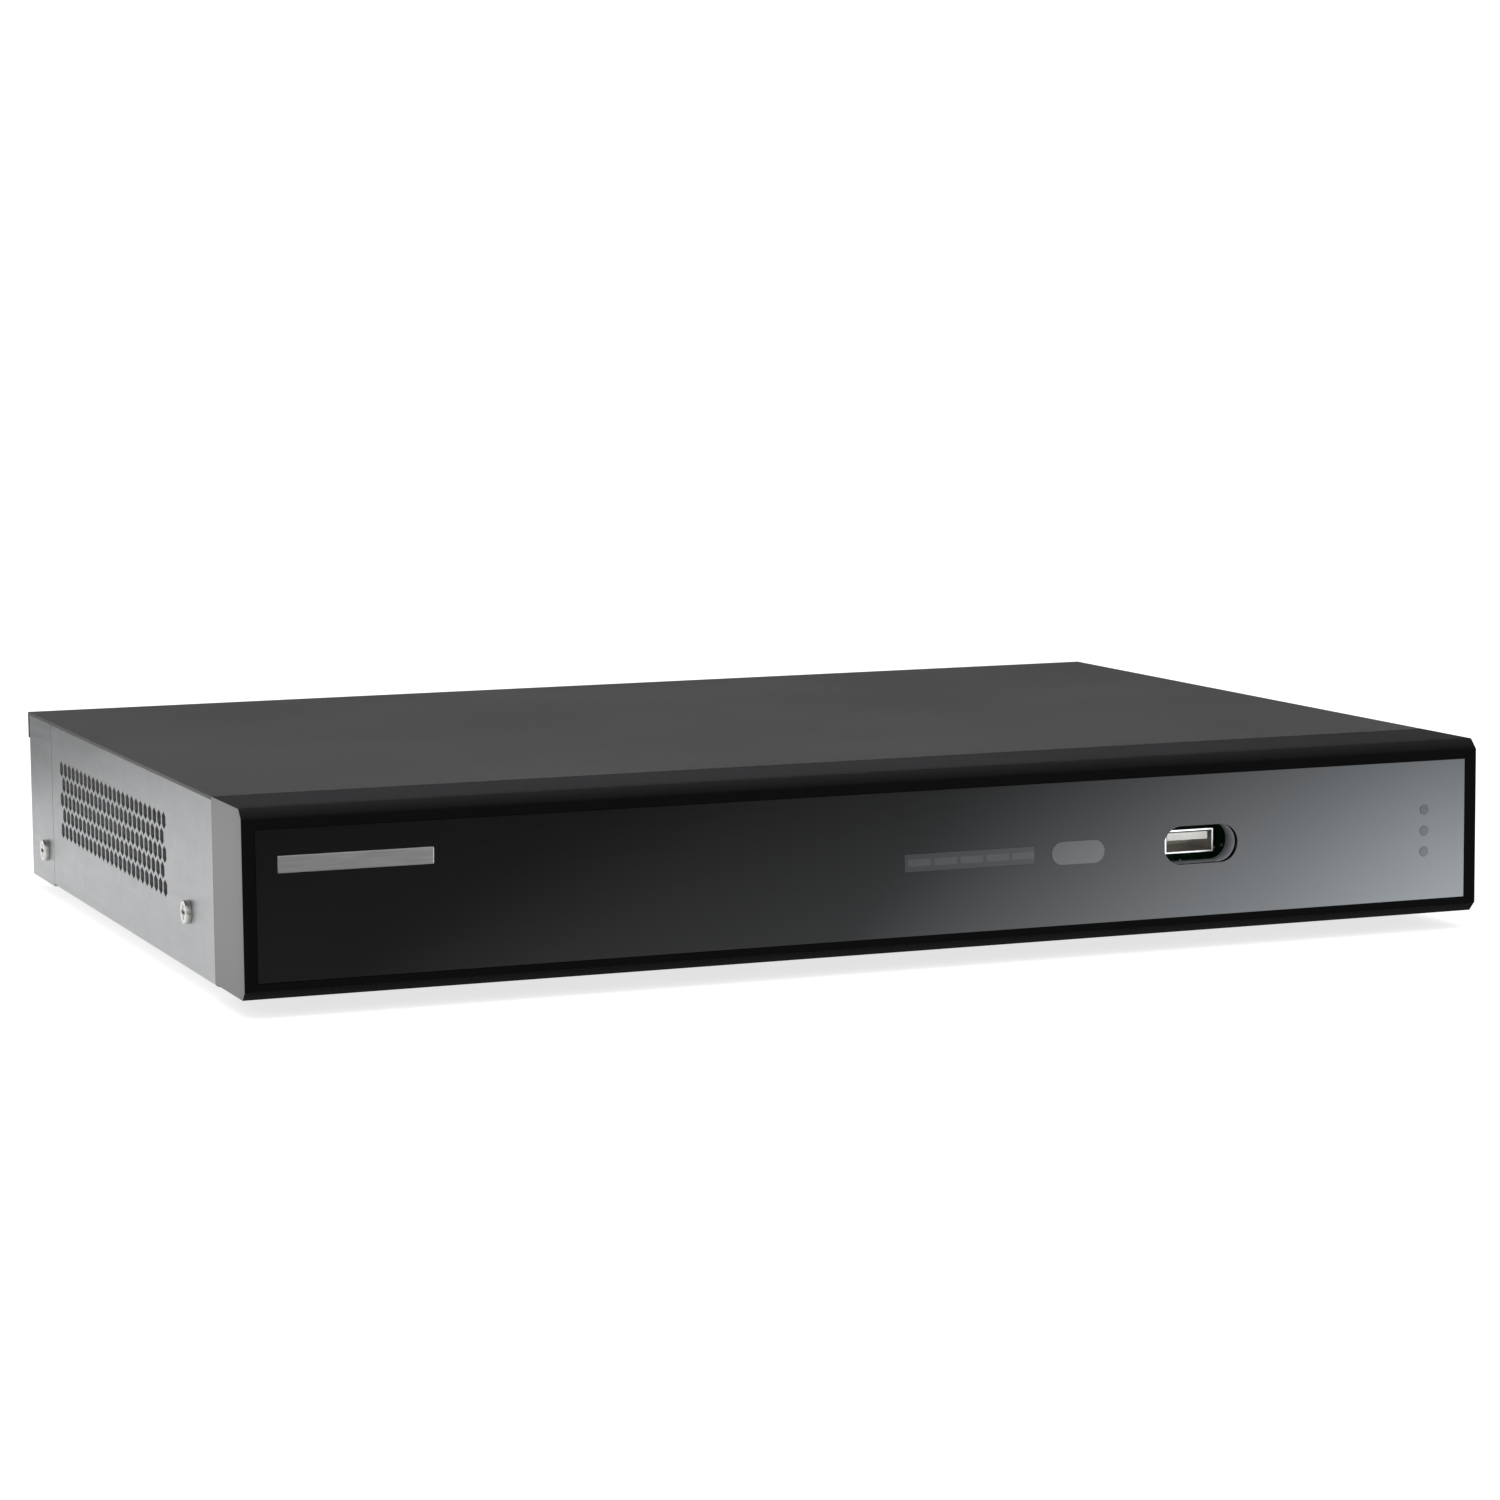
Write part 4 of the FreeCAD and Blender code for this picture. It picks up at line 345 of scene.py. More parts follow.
def ribbon_sheath(look):
    """Grey ribbon: a ridge for each wire, the first one red."""
    finish = Finish("ribbon_sheath")
    across = (finish.axis("X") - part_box("front_ribbon")[0].x) / WIRE_PITCH
    ridge = finish.node("ShaderNodeMath", {0: across * math.pi}, {"operation": "SINE"})
    finish.colour(finish.mix(across < 1.0, (0.36, 0.36, 0.37), (0.4, 0.03, 0.02)))
    finish.rough(finish.span(finish.noise(2.0), 0.4, 0.5))
    return finish.relief(ridge * ridge, 0.3, 0.7)


def disc_mirror(look):
    """Recording discs: a mirror with rings too fine to part."""
    finish = Finish("disc_mirror", metallic=1.0)
    rings = finish.noise(0.2, 1.0, stretch=(0.2, 0.2, 1.0))
    finish.colour(finish.mix(rings, (0.78, 0.78, 0.8), (0.86, 0.86, 0.87)))
    return finish.rough(finish.span(rings, 0.02, 0.05))


def moulded(name, colour, rough, grain, depth=0.008, **constants):
    """A maker of a plain moulding, whose colour isn't among the settings."""
    return lambda look: moulding(name, colour, rough, grain, depth, **constants)


def plated(name, colour, rough, lines=(1, 1, 1)):
    """A maker of a metal, whose colour isn't among the settings."""
    return lambda look: plating(name, colour, rough, lines)


FINISHES = {
    "zinc_steel": zinc_steel,
    "black_coat": powder_coat,
    "bezel_plastic": bezel_plastic,
    "gloss_black": gloss_black,
    "satin_silver": satin_silver,
    "print_grey": print_grey,
    "dark_lens": dark_lens,
    "clear_plastic": moulded("clear_plastic", (0.02, 0.021, 0.022), 0.14, 1.0, specular_ior_level=0.3),
    "foot_rubber": moulded("foot_rubber", (0.018, 0.018, 0.019), 0.72, 0.5, depth=0.04),
    "screw_steel": plated("screw_steel", (0.58, 0.58, 0.56), 0.3),
    "board_laminate": laminate,
    "led_plastic": moulded("led_plastic", (0.55, 0.54, 0.48), 0.25, 0.6),
    "socket_steel": plated("socket_steel", (0.66, 0.66, 0.64), 0.3, lines=(0.1, 1, 1)),
    "white_plastic": moulded("white_plastic", (0.74, 0.73, 0.68), 0.38, 0.5),
    "socket_brass": plated("socket_brass", (0.72, 0.53, 0.22), 0.3),
    "chip_resin": moulded("chip_resin", (0.022, 0.022, 0.024), 0.6, 0.25, depth=0.02),
    "can_sleeve": can_sleeve,
    "sink_aluminium": plated("sink_aluminium", (0.62, 0.63, 0.65), 0.36, lines=(1, 0.05, 1)),
    "black_plastic": moulded("black_plastic", (0.016, 0.016, 0.017), 0.45, 0.4, depth=0.012),
    "lead_sheath": moulded("lead_sheath", (0.26, 0.02, 0.015), 0.45, 1.2, depth=0.01),
    "cell_steel": plated("cell_steel", (0.7, 0.7, 0.68), 0.2),
    "header_plastic": moulded("header_plastic", (0.68, 0.64, 0.54), 0.45, 0.6),
    "ribbon_sheath": ribbon_sheath,
    "drive_casting": plated("drive_casting", (0.42, 0.42, 0.43), 0.5),
    "drive_lid": plated("drive_lid", (0.62, 0.62, 0.62), 0.3, lines=(0.04, 1, 1)),
    "disc_mirror": disc_mirror,
    "socket_nickel": lambda look: plating("socket_nickel", look.nickel, 0.2, lines=(1, 0.2, 1)),
    "contact_gold": plated("contact_gold", (0.86, 0.62, 0.24), 0.22),
    "blue_plastic": moulded("blue_plastic", (0.015, 0.05, 0.3), 0.4, 0.5),
    "green_plastic": moulded("green_plastic", (0.02, 0.27, 0.09), 0.4, 0.5),
    "rocker_plastic": moulded("rocker_plastic", (0.014, 0.014, 0.015), 0.3, 0.5),
}


# ---------------------------------------------------------------------------------------------
# Modelling, as by hand
# ---------------------------------------------------------------------------------------------
SMOOTH_ANGLE = math.radians(35.0)  # Faces that meet at less than this are shaded as one
SHARP_ANGLE = math.radians(40.0)  # Edges sharper than this are rounded
FLAT_ANGLE = math.radians(0.4)  # Triangles within this of each other are one flat face
WELD_DISTANCE = 0.002 * MM


def alone(piece):
    """Selects one piece and nothing else."""
    bpy.ops.object.select_all(action="DESELECT")
    piece.select_set(True)
    bpy.context.view_layer.objects.active = piece


def placed(piece):
    """Puts the piece's place, turn and scale into its mesh."""
    alone(piece)
    bpy.ops.object.transform_apply(location=True, rotation=True, scale=True)
    return piece


def edit(piece, *steps):
    """Runs edit-mode steps on all of a piece's mesh."""
    alone(piece)
    bpy.ops.object.mode_set(mode="EDIT")
    bpy.ops.mesh.select_all(action="SELECT")
    for step in steps:
        step()
    bpy.ops.object.mode_set(mode="OBJECT")
    return piece


def block(name, low, high, edge, segments=2):
    """A box between two corners, with its edges rounded."""
    low, high = Vector(low), Vector(high)
    bpy.ops.object.select_all(action="DESELECT")
    bpy.ops.mesh.primitive_cube_add(size=1.0, location=(low + high) / 2, scale=high - low)
    piece = placed(bpy.context.active_object)
    piece.name = name
    return edit(piece, lambda: bpy.ops.mesh.bevel(offset=edge, segments=segments, affect="EDGES"))


def joined(name, pieces):
    """Several pieces as one."""
    bpy.ops.object.select_all(action="DESELECT")
    for piece in pieces:
        piece.select_set(True)
    bpy.context.view_layer.objects.active = pieces[0]
    bpy.ops.object.join()
    pieces[0].name = name
    return pieces[0]


def copied(piece, offset):
    """A copy of a piece, with its own mesh, moved by an offset."""
    alone(piece)
    bpy.ops.object.duplicate(linked=False)
    bpy.ops.transform.translate(value=offset)
    return placed(bpy.context.active_object)


def repeated(piece, offsets):
    """A piece and its copies, each at a distance along X from it."""
    return [piece] + [copied(piece, (offset, 0.0, 0.0)) for offset in offsets]


def finished(piece, slot, body="case"):
    """Smooths a piece's round stretches, gives it a slot's finish and lets it ride on a body."""
    alone(piece)
    bpy.ops.object.shade_smooth_by_angle(angle=SMOOTH_ANGLE)
    piece.data.materials.clear()
    piece.data.materials.append(bpy.data.materials[MADE[slot]])
    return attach(piece, body)


def soften(node, width):
    """Rounds a CAD node's sharp edges with live modifiers. Its own mesh stays as it is."""
    piece = NODES[node]
    weld = piece.modifiers.new("weld", "WELD")
    weld.merge_threshold = WELD_DISTANCE
    plane = piece.modifiers.new("planes", "DECIMATE")
    plane.decimate_type = "DISSOLVE"
    plane.angle_limit = FLAT_ANGLE
    bevel = piece.modifiers.new("edges", "BEVEL")
    bevel.width = width
    bevel.segments = 2
    bevel.limit_method = "ANGLE"
    bevel.angle_limit = SHARP_ANGLE
    bevel.use_clamp_overlap = True
    bevel.harden_normals = True


# ---------------------------------------------------------------------------------------------
# Settings
# ---------------------------------------------------------------------------------------------
def tint(name, description, default):
    """A colour setting."""
    return FloatVectorProperty(
        name=name, description=description, default=default, subtype="COLOR", min=0.0, max=1.0, size=3
    )


def length(name, description, millimetres):
    """A size setting."""
    return FloatProperty(name=name, description=description, default=millimetres * MM, unit="LENGTH")


class RecorderLook(bpy.types.PropertyGroup):
    """Colours that a user would change."""

    cover: tint("Cover", "Powder coat on the top cover", (0.06, 0.06, 0.061))
    bezel: tint("Bezel", "Moulded front", (0.026, 0.026, 0.028))
    fascia: tint("Fascia", "Gloss front panel", (0.002, 0.002, 0.0022))
    zinc: tint("Steel", "Zinc-coated tray and rear panel", (0.33, 0.335, 0.342))
    nickel: tint("Nickel", "Plating on the round sockets", (0.74, 0.72, 0.67))
    board: tint("Board", "Solder mask", (0.012, 0.11, 0.045))
    legend: tint("Legend", "Strip on the fascia", (0.012, 0.012, 0.014))


class RecorderStage(bpy.types.PropertyGroup):
    """The camera and the studio."""

    camera_place: FloatVectorProperty(
        name="Camera", description="Where the camera stands", default=(-0.3913, -1.0257, 0.1684),
        subtype="XYZ", unit="LENGTH"
    )
    camera_turn: FloatProperty(
        name="Turn", description="Camera's turn from +Y toward +X", default=math.radians(21.404),
        subtype="ANGLE"
    )
    camera_tilt: FloatProperty(
        name="Tilt", description="Camera's tilt below the horizon", default=math.radians(6.665),
        subtype="ANGLE"
    )
    camera_roll: FloatProperty(
        name="Roll", description="Camera's roll", default=math.radians(-0.524), subtype="ANGLE"
    )
    lens: FloatProperty(
        name="Lens", description="Focal length in millimetres on a 36 mm sensor", default=101.5
    )
    sky: FloatProperty(name="Sky", description="Strength of the even light all round", default=1.12)
    key: FloatProperty(
        name="Key", description="Power of the overhead softbox", default=6.0, unit="POWER"
    )
    sweep: FloatProperty(
        name="Sweep", description="Strength of the graded card in front", default=8.0
    )


class RecorderFine(bpy.types.PropertyGroup):
    """Sizes of the fine parts made here."""

    moulded_edge: length("Moulded Edge", "Round on moulded edges", 0.3)
    metal_edge: length("Metal Edge", "Round on metal edges", 0.25)
    digit: length("Digit", "Size of the socket numbers", 3.4)
    pad: length("Pad", "Thickness of a contact pad", 0.12)
    ink: length("Ink", "Thickness of the printed numbers", 0.03)


# ---------------------------------------------------------------------------------------------
# Operators
# ---------------------------------------------------------------------------------------------
BUS_HALF_WIDTH = 6.55 * MM
BUS_HALF_HEIGHT = 2.85 * MM
BUS_TONGUE_RISE = 0.2 * MM  # From a bus socket's middle up to its tongue
BUS_PAD_LENGTH = 9.0 * MM
BUS_PAD_WIDTH = 1.0 * MM
BUS_PAD_ROUND = 0.05 * MM
BUS_PAD_INSET = 0.5 * MM  # From the tongue's tip to its pads
BUS_PAD_START = 4.0 * MM  # From the socket's middle to the first pad's edge
BUS_PAD_STEPS = (2.5 * MM, 4.5 * MM, 7.0 * MM)  # From the first pad to the others

NETWORK_CONTACTS = 8
NETWORK_PITCH = 1.02 * MM
FINGER_HALF = (0.2 * MM, 4.0 * MM, 0.15 * MM)
FINGER_ROUND = 0.06 * MM
FINGER_DEPTH = 8.0 * MM  # From the socket's mouth to a contact's middle
FINGER_RISE = 4.5 * MM  # From the shell's bottom to a contact's middle
FINGER_SLOPE = math.radians(20.0)
LAMP_SPREAD = 5.4 * MM  # From the socket's middle to a lamp's
LAMP_HALF_WIDTH = 1.3 * MM
LAMP_ROUND = 0.25 * MM
LAMP_DEPTHS = (4.0 * MM, 0.4 * MM)  # Of its back and its front, behind the socket's mouth
LAMP_LEVELS = (2.7 * MM, 1.3 * MM)  # Of its bottom and its top, below the shell's top

DISPLAY_PITCH = 1.0 * MM
DISPLAY_UPPER = 10  # Contacts above the tongue
DISPLAY_LOWER = 9  # Contacts below it
DISPLAY_HALF_WIDTH = 0.25 * MM
DISPLAY_ROUND = 0.02 * MM
DISPLAY_DEPTHS = (8.0 * MM, 0.6 * MM)  # Of a contact's back and its front, behind the tongue's tip

VIDEO_COLUMNS = 4
VIDEO_PITCH = 15.5 * MM
VIDEO_EDGE = 7.0 * MM  # From the housings' side or top to the middle of the nearest socket
VIDEO_FOOT = 7.2 * MM  # From the housings' bottom to the middle of the lower row
NUMBER_BESIDE = 6.5 * MM  # From a socket's middle to its number, across
NUMBER_ABOVE = 3.2 * MM  # From a socket's middle to its number's foot

ROCKER_REST = math.radians(9.0)  # The rocker's tilt at rest
ROCKER_SLOPE = math.radians(-10.7)  # Slope of each half of its face
ROCKER_REACH = 6.24 * MM  # From its axle out to the middle of a mark
ROCKER_SPREAD = 2.6 * MM  # From its axle up or down to the middle of a mark
BAR_HALF = (0.3 * MM, 0.12 * MM, 1.0 * MM)
BAR_ROUND = 0.08 * MM
RING_RADIUS = 0.95 * MM
RING_THICKNESS = 0.2 * MM


class RECORDER_OT_finishes(bpy.types.Operator):
    """Give every CAD node the finish of its material slot"""

    bl_idname = "recorder.finishes"
    bl_label = "Finishes"

    def execute(self, context):
        look = context.scene.recorder_look
        for slot, maker in FINISHES.items():
            MADE[slot] = maker(look).material.name
        for row in frame["record"]["subparts"]:
            mesh = NODES[row["node"]].data
            mesh.materials.clear()
            mesh.materials.append(bpy.data.materials[MADE[row["material_slot"]]])
        return {"FINISHED"}


class RECORDER_OT_edges(bpy.types.Operator):
    """Round the sharp edges of the moulded pieces and of the metal ones"""

    bl_idname = "recorder.edges"
    bl_label = "Soft Edges"

    def execute(self, context):
        fine = context.scene.recorder_fine
        for node in MOULDED:
            soften(node, fine.moulded_edge)
        for node in METAL:
            soften(node, fine.metal_edge)
        return {"FINISHED"}


class RECORDER_OT_bus_contacts(bpy.types.Operator):
    """Make the four gilt pads under the tongue of each bus socket"""

    bl_idname = "recorder.bus_contacts"
    bl_label = "Bus Socket Contacts"

    def execute(self, context):
        thickness = context.scene.recorder_fine.pad
        low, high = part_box("usb_shells")
        front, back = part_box("usb_inserts")
        front_middle = (high.x - BUS_HALF_WIDTH, high.z - BUS_HALF_HEIGHT)
        rear_middle = (low.x + BUS_HALF_WIDTH, low.z + BUS_HALF_HEIGHT)
        rear_start = back.y - BUS_PAD_INSET - BUS_PAD_LENGTH
        self.pads("front_bus_contacts", front_middle, front.y + BUS_PAD_INSET, thickness)
        self.pads("rear_bus_contacts", rear_middle, rear_start, thickness)
        return {"FINISHED"}

    def pads(self, name, middle, start, thickness):
        """Pads on the underside of the tongue of the socket with this middle."""
        left, top = middle[0] - BUS_PAD_START, middle[1] + BUS_TONGUE_RISE
        low = (left, start, top - thickness)
        high = (left + BUS_PAD_WIDTH, start + BUS_PAD_LENGTH, top)
        pads = repeated(block(name, low, high, BUS_PAD_ROUND), BUS_PAD_STEPS)
        finished(joined(name, pads), "contact_gold")


class RECORDER_OT_network_socket(bpy.types.Operator):
    """Make the eight sprung contacts of the network socket and its two lamp lenses"""

    bl_idname = "recorder.network_socket"
    bl_label = "Network Socket"

    def execute(self, context):
        low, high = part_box("lan_shell")
        x = (low.x + high.x) / 2
        first = x - (NETWORK_CONTACTS - 1) / 2 * NETWORK_PITCH
        finger = self.finger(first, high.y - FINGER_DEPTH, low.z + FINGER_RISE)
        fingers = repeated(finger, [step * NETWORK_PITCH for step in range(1, NETWORK_CONTACTS)])
        finished(joined("network_contacts", fingers), "contact_gold")
        self.lamp("network_lamp_left", x + LAMP_SPREAD, high, "green_plastic")
        self.lamp("network_lamp_right", x - LAMP_SPREAD, high, "led_plastic")
        return {"FINISHED"}

    def finger(self, *middle):
        """A sprung wire that slopes along the socket, with its middle here."""
        low = [place - half for place, half in zip(middle, FINGER_HALF)]
        high = [place + half for place, half in zip(middle, FINGER_HALF)]
        wire = block("network_contacts", low, high, FINGER_ROUND)
        return edit(wire, lambda: bpy.ops.transform.rotate(
            value=FINGER_SLOPE, orient_axis="X", orient_type="GLOBAL", center_override=middle))

    def lamp(self, name, x, corner, slot):
        """A lens in the upper part of the socket, whose shell's highest corner is given."""
        low = (x - LAMP_HALF_WIDTH, corner.y - LAMP_DEPTHS[0], corner.z - LAMP_LEVELS[0])
        high = (x + LAMP_HALF_WIDTH, corner.y - LAMP_DEPTHS[1], corner.z - LAMP_LEVELS[1])
        finished(block(name, low, high, LAMP_ROUND, segments=3), slot)


class RECORDER_OT_display_contacts(bpy.types.Operator):
    """Make the contacts above and below the tongue of the digital display socket"""

    bl_idname = "recorder.display_contacts"
    bl_label = "Display Socket Contacts"

    def execute(self, context):
        thickness = context.scene.recorder_fine.pad / 2
        low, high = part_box("hdmi_tongue")
        middle = (low.x + high.x) / 2
        back, front = (high.y - depth for depth in DISPLAY_DEPTHS)
        pads = []
        for count, z in ((DISPLAY_UPPER, high.z), (DISPLAY_LOWER, low.z - thickness)):
            x = middle - (count - 1) / 2 * DISPLAY_PITCH
            left, right = x - DISPLAY_HALF_WIDTH, x + DISPLAY_HALF_WIDTH
            pad = block("pad", (left, back, z), (right, front, z + thickness), DISPLAY_ROUND)
            pads += repeated(pad, [step * DISPLAY_PITCH for step in range(1, count)])
        finished(joined("display_contacts", pads), "contact_gold")
        return {"FINISHED"}


class RECORDER_OT_socket_numbers(bpy.types.Operator):
    """Print the numbers 1 to 8 beside the video sockets"""

    bl_idname = "recorder.socket_numbers"
    bl_label = "Socket Numbers"

    def execute(self, context):
        fine = context.scene.recorder_fine
        low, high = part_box("bnc_housings")
        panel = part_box("rear_panel")[1].y
        rows = (high.z - VIDEO_EDGE, low.z + VIDEO_FOOT)
        numbers = []
        for column in range(VIDEO_COLUMNS):
            x = high.x - VIDEO_EDGE - column * VIDEO_PITCH + NUMBER_BESIDE
            for row in rows:
                numbers.append(self.number(str(len(numbers) + 1), x, panel, row + NUMBER_ABOVE, fine))
        finished(joined("socket_numbers", numbers), "black_plastic")
        return {"FINISHED"}

    def number(self, text, x, y, z, fine):
        """A number that reads from behind, with its back on the panel."""
        bpy.ops.object.select_all(action="DESELECT")
        bpy.ops.object.text_add(location=(x, y + fine.ink, z), rotation=(math.pi / 2, 0.0, math.pi))
        number = bpy.context.active_object
        number.data.body = text
        number.data.size = fine.digit
        number.data.extrude = fine.ink
        number.data.align_x = "CENTER"
        bpy.ops.object.convert(target="MESH")
        return placed(bpy.context.active_object)


class RECORDER_OT_rocker_marks(bpy.types.Operator):
    """Make the bar and the ring on the two halves of the power rocker"""

    bl_idname = "recorder.rocker_marks"
    bl_label = "Rocker Marks"

    def execute(self, context):
        joints = {row["name"]: row for row in frame["record"]["behaviour"]["joints"]}
        axle = Matrix.Translation(joints["rocker_tilt"]["pos_m"]) @ Matrix.Rotation(ROCKER_REST, 4, "X")
        bar = block("rocker_marks", [-half for half in BAR_HALF], BAR_HALF, BAR_ROUND)
        marks = []
        for mark, side in ((bar, -1), (self.ring(), 1)):
            out = Matrix.Translation((0.0, ROCKER_REACH, ROCKER_SPREAD * side))
            mark.matrix_world = axle @ out @ Matrix.Rotation(ROCKER_SLOPE * side, 4, "X")
            placed(mark)
            marks.append(mark)
        finished(joined("rocker_marks", marks), "white_plastic", "rocker")
        return {"FINISHED"}

    def ring(self):
        """An upright ring that faces the back."""
        bpy.ops.object.select_all(action="DESELECT")
        bpy.ops.mesh.primitive_torus_add(
            major_radius=RING_RADIUS, minor_radius=RING_THICKNESS, major_segments=40, minor_segments=10,
            rotation=(math.pi / 2, 0.0, 0.0)
        )
        return placed(bpy.context.active_object)


# ---------------------------------------------------------------------------------------------
# Studio
# ---------------------------------------------------------------------------------------------
SENSOR_WIDTH = 36.0  # In millimetres
BOX_PLACE = (-0.1, -0.25, 1.0)  # The overhead softbox
BOX_AIM = (0.0, 0.0, 0.02)
BOX_SIZE = (1.1, 0.9)
FLOOR_SIZE = 30.0
FLOOR_DROP = 0.02 * MM
FLOOR_GLOW = 0.74
CARD_LIFT = 0.7 * MM  # Of the dark cards that lie on the floor
SWEEP_LIFT = 0.6 * MM  # Of the graded card, under them

# The lowest and highest corner of each dark card
DARK_CARDS = {
    "flag": ((-0.47, 1.2, 0.0), (3.0, 1.2, 1.7)),  # Stands behind, for the top
    "mask": ((-0.1575, -0.1195, CARD_LIFT), (0.165, -0.09, CARD_LIFT)),  # Lies under the front
    "shade": ((-0.6, 0.31, CARD_LIFT), (-0.16, 1.19, CARD_LIFT)),  # Lies behind, on the left
    "ceiling": ((-1.2, -1.3, 1.7), (2.2, 1.2, 1.7)),  # Lies above, for the top
}

SWEEP_LOW = (-1.2, -3.0, SWEEP_LIFT)
SWEEP_HIGH = (1.6, -0.125, SWEEP_LIFT)
SWEEP_STOPS = ((0.0, 0.025), (0.2, 0.07), (0.43, 0.1), (0.62, 0.32), (0.83, 0.62), (1.0, 1.0))
SWEEP_START = -0.15  # Where the grade starts along X
SWEEP_SPAN = 0.3
SWEEP_LEAN = 0.6  # How far the grade moves right with each metre ahead
SWEEP_FADE = 2.2  # How much the card dims with each metre ahead
SWEEP_NEAREST, SWEEP_FARTHEST = 1.2, 0.3  # Its level beside the recorder, and its least


def dark_card():
    """Dull black, for a card that takes light out of reflections."""
    finish = Finish("dark_card", specular_ior_level=0.0)
    finish.colour(finish.mix(finish.noise(500.0), (0.02, 0.02, 0.02), (0.03, 0.03, 0.03)))
    return finish


def graded_card(strength):
    """A light on the floor in front: dim on the left, bright on the right and near the recorder."""
    finish = Finish("graded_card", base_color=(0.0, 0.0, 0.0), specular_ior_level=0.0)
    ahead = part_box("front_fascia")[0].y - finish.axis("Y")
    across = (finish.axis("X") - ahead * SWEEP_LEAN - SWEEP_START) / SWEEP_SPAN
    level = finish.ramp(across, *SWEEP_STOPS)
    fade = {0: SWEEP_NEAREST - ahead * SWEEP_FADE, 1: SWEEP_FARTHEST}
    near = finish.node("ShaderNodeMath", fade, {"operation": "MAXIMUM"})
    cool = finish.mix(across, (1.0, 1.0, 1.0), (0.93, 1.0, 1.05))
    graded = finish.node("ShaderNodeVectorMath", {0: level, 1: cool}, {"operation": "MULTIPLY"})
    nearer = finish.node("ShaderNodeVectorMath", {0: graded, "Scale": near}, {"operation": "SCALE"})
    finish.set("Emission Color", nearer)
    return finish.set("Emission Strength", strength)


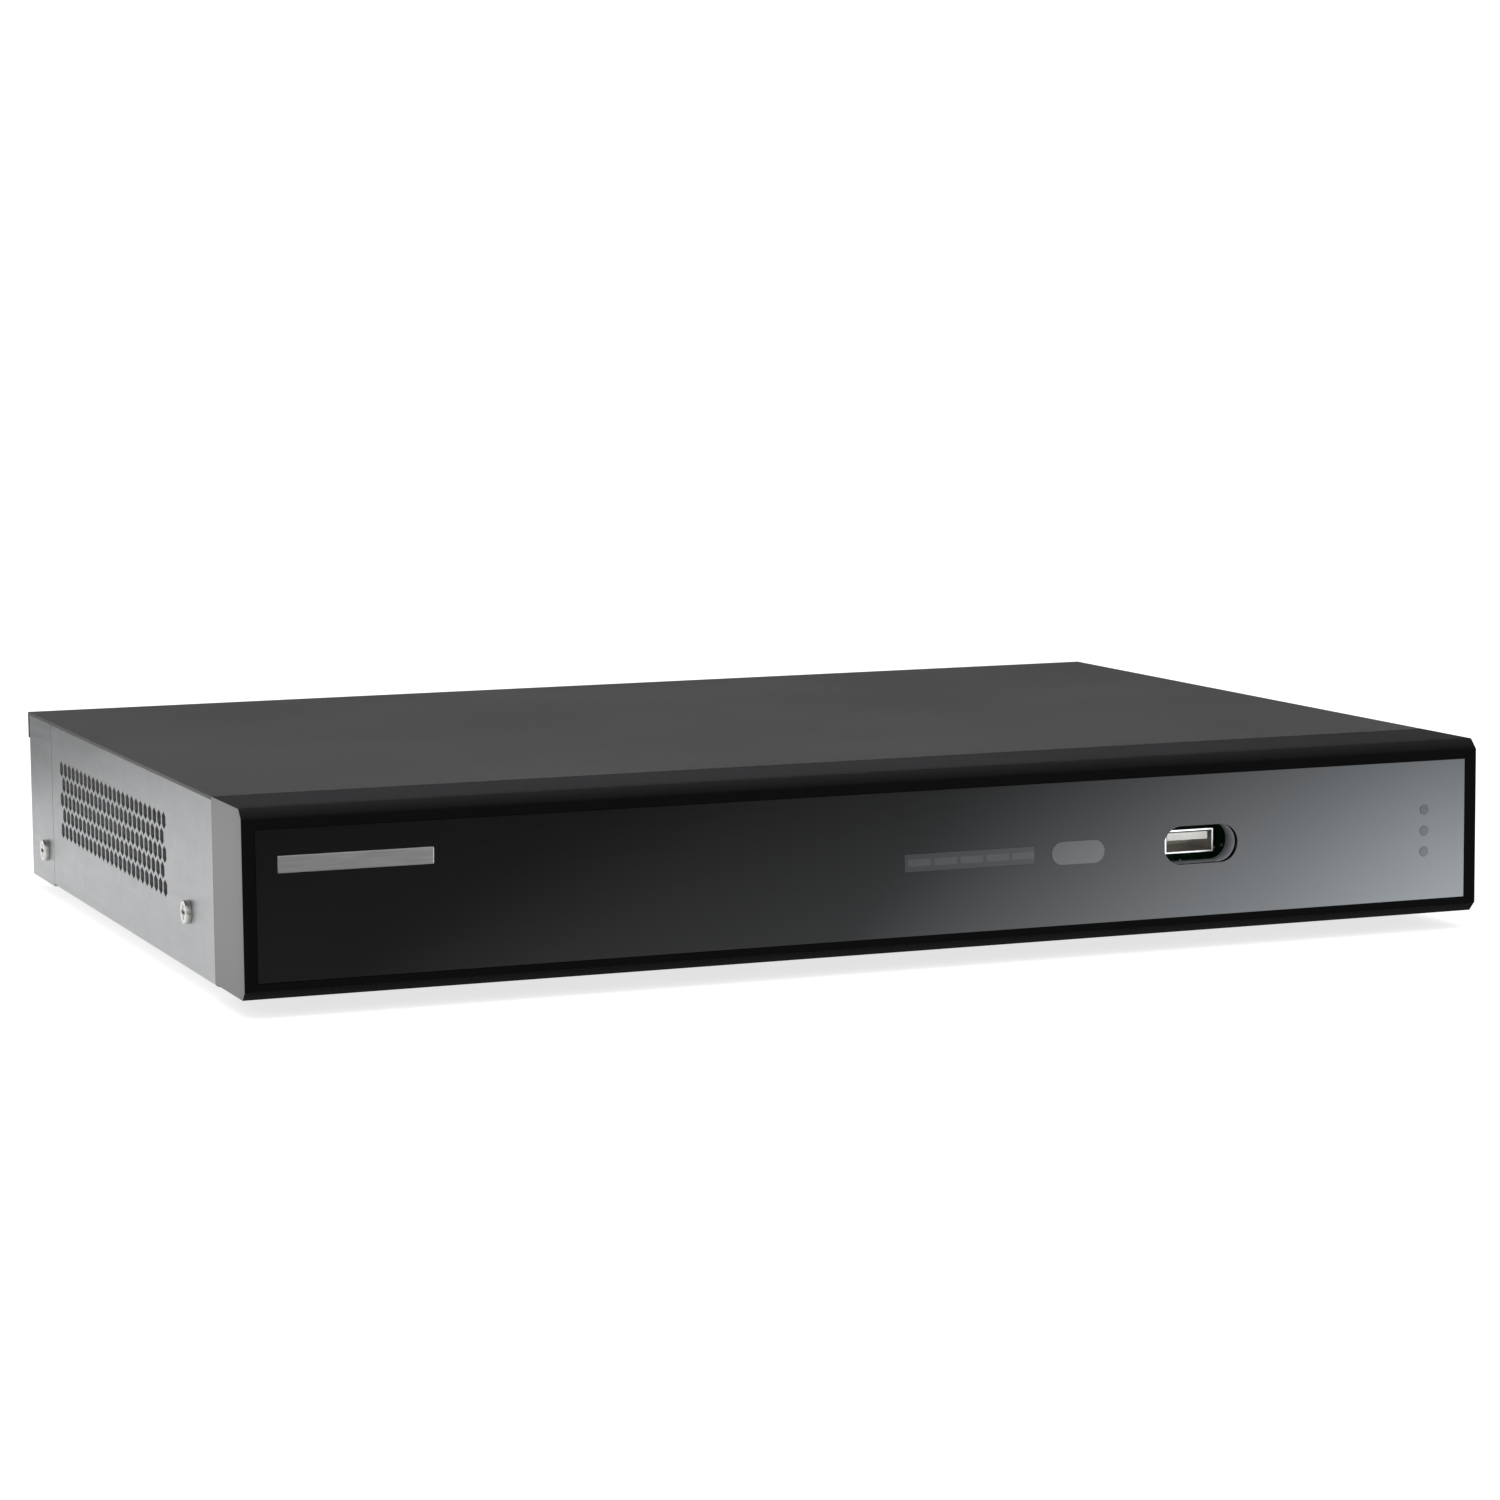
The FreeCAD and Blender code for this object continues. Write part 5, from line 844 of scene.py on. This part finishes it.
class RECORDER_OT_stage(bpy.types.Operator):
    """Set the pale floor, the soft lights and the camera"""

    bl_idname = "recorder.stage"
    bl_label = "Stage"

    def execute(self, context):
        stage = context.scene.recorder_stage
        self.camera(context, stage)
        self.floor()
        self.world(context, stage)
        self.softbox("overhead", stage.key, BOX_PLACE, BOX_AIM, BOX_SIZE)
        for name, (low, high) in DARK_CARDS.items():
            self.card(name, low, high, dark_card())
        self.card("sweep", SWEEP_LOW, SWEEP_HIGH, graded_card(stage.sweep))
        return {"FINISHED"}

    def camera(self, context, stage):
        """The camera at its place, turned, tilted and rolled."""
        bpy.ops.object.select_all(action="DESELECT")
        bpy.ops.object.camera_add()
        camera = context.active_object
        turn = Matrix.Rotation(-stage.camera_turn, 4, "Z")
        tilt = Matrix.Rotation(math.pi / 2 - stage.camera_tilt, 4, "X")
        roll = Matrix.Rotation(stage.camera_roll, 4, "Z")
        camera.matrix_world = Matrix.Translation(stage.camera_place) @ turn @ tilt @ roll
        camera.data.lens = stage.lens
        camera.data.sensor_width = SENSOR_WIDTH
        context.scene.camera = camera

    def floor(self):
        """A pale floor that gives off some light, so that shadows on it stay faint."""
        bpy.ops.object.select_all(action="DESELECT")
        bpy.ops.mesh.primitive_plane_add(size=FLOOR_SIZE, location=(0.0, 0.0, -FLOOR_DROP))
        floor = bpy.context.active_object
        floor.name = "floor"
        finish = Finish("floor_paint", specular_ior_level=0.2)
        finish.colour(finish.mix(finish.noise(900.0), (0.37, 0.37, 0.37), (0.39, 0.39, 0.39)))
        finish.rough(finish.span(finish.noise(40.0), 0.75, 0.85))
        finish.set("Emission Color", (1.0, 1.0, 1.0))
        finish.set("Emission Strength", FLOOR_GLOW)
        floor.data.materials.append(finish.material)

    def world(self, context, stage):
        """Even white light all round."""
        world = bpy.data.worlds.new("studio")
        world.use_nodes = True
        background = world.node_tree.nodes["Background"]
        background.inputs["Color"].default_value = (1.0, 1.0, 1.0, 1.0)
        background.inputs["Strength"].default_value = stage.sky
        context.scene.world = world
        context.scene.view_settings.view_transform = "Standard"

    def card(self, name, low, high, finish):
        """A card that only reflections see, between two corners."""
        low, high = Vector(low), Vector(high)
        bpy.ops.object.select_all(action="DESELECT")
        bpy.ops.mesh.primitive_plane_add(size=1.0)
        card = bpy.context.active_object
        card.name = name
        if high.z - low.z > high.y - low.y:
            card.scale = (high.x - low.x, high.z - low.z, 1.0)
            card.rotation_euler.x = math.pi / 2
        else:
            card.scale = (high.x - low.x, high.y - low.y, 1.0)
        card.location = (low + high) / 2
        placed(card)
        card.data.materials.append(finish.material)
        card.visible_camera = card.visible_diffuse = card.visible_shadow = False

    def softbox(self, name, power, place, aim, size):
        """A soft light that nothing shows or reflects."""
        bpy.ops.object.select_all(action="DESELECT")
        bpy.ops.object.light_add(type="AREA", location=place)
        light = bpy.context.active_object
        light.name = name
        light.rotation_euler = (Vector(aim) - Vector(place)).to_track_quat("-Z", "Y").to_euler()
        light.data.shape = "RECTANGLE"
        light.data.size, light.data.size_y = size
        light.data.energy = power
        light.visible_camera = light.visible_glossy = False


OPERATORS = (
    RECORDER_OT_finishes,
    RECORDER_OT_edges,
    RECORDER_OT_bus_contacts,
    RECORDER_OT_network_socket,
    RECORDER_OT_display_contacts,
    RECORDER_OT_socket_numbers,
    RECORDER_OT_rocker_marks,
    RECORDER_OT_stage,
)


class RECORDER_PT_panel(bpy.types.Panel):
    """Lists the recorder's operators and settings"""

    bl_idname = "RECORDER_PT_panel"
    bl_label = "Video Recorder"
    bl_space_type = "VIEW_3D"
    bl_region_type = "UI"
    bl_category = "Recorder"

    def draw(self, context):
        column = self.layout.column()
        scene = context.scene
        for group in (scene.recorder_look, scene.recorder_fine, scene.recorder_stage):
            for name in group.__annotations__:
                column.prop(group, name)
        for operator in OPERATORS:
            column.operator(operator.bl_idname)


CLASSES = (RecorderLook, RecorderStage, RecorderFine, *OPERATORS, RECORDER_PT_panel)


def register():
    for cls in CLASSES:
        bpy.utils.register_class(cls)
    bpy.types.Scene.recorder_look = PointerProperty(type=RecorderLook)
    bpy.types.Scene.recorder_stage = PointerProperty(type=RecorderStage)
    bpy.types.Scene.recorder_fine = PointerProperty(type=RecorderFine)


def unregister():
    del bpy.types.Scene.recorder_fine
    del bpy.types.Scene.recorder_stage
    del bpy.types.Scene.recorder_look
    for cls in reversed(CLASSES):
        bpy.utils.unregister_class(cls)


def main():
    register()
    for operator in OPERATORS:
        group, name = operator.bl_idname.split(".")
        getattr(getattr(bpy.ops, group), name)()


if __name__ == "__main__":
    main()
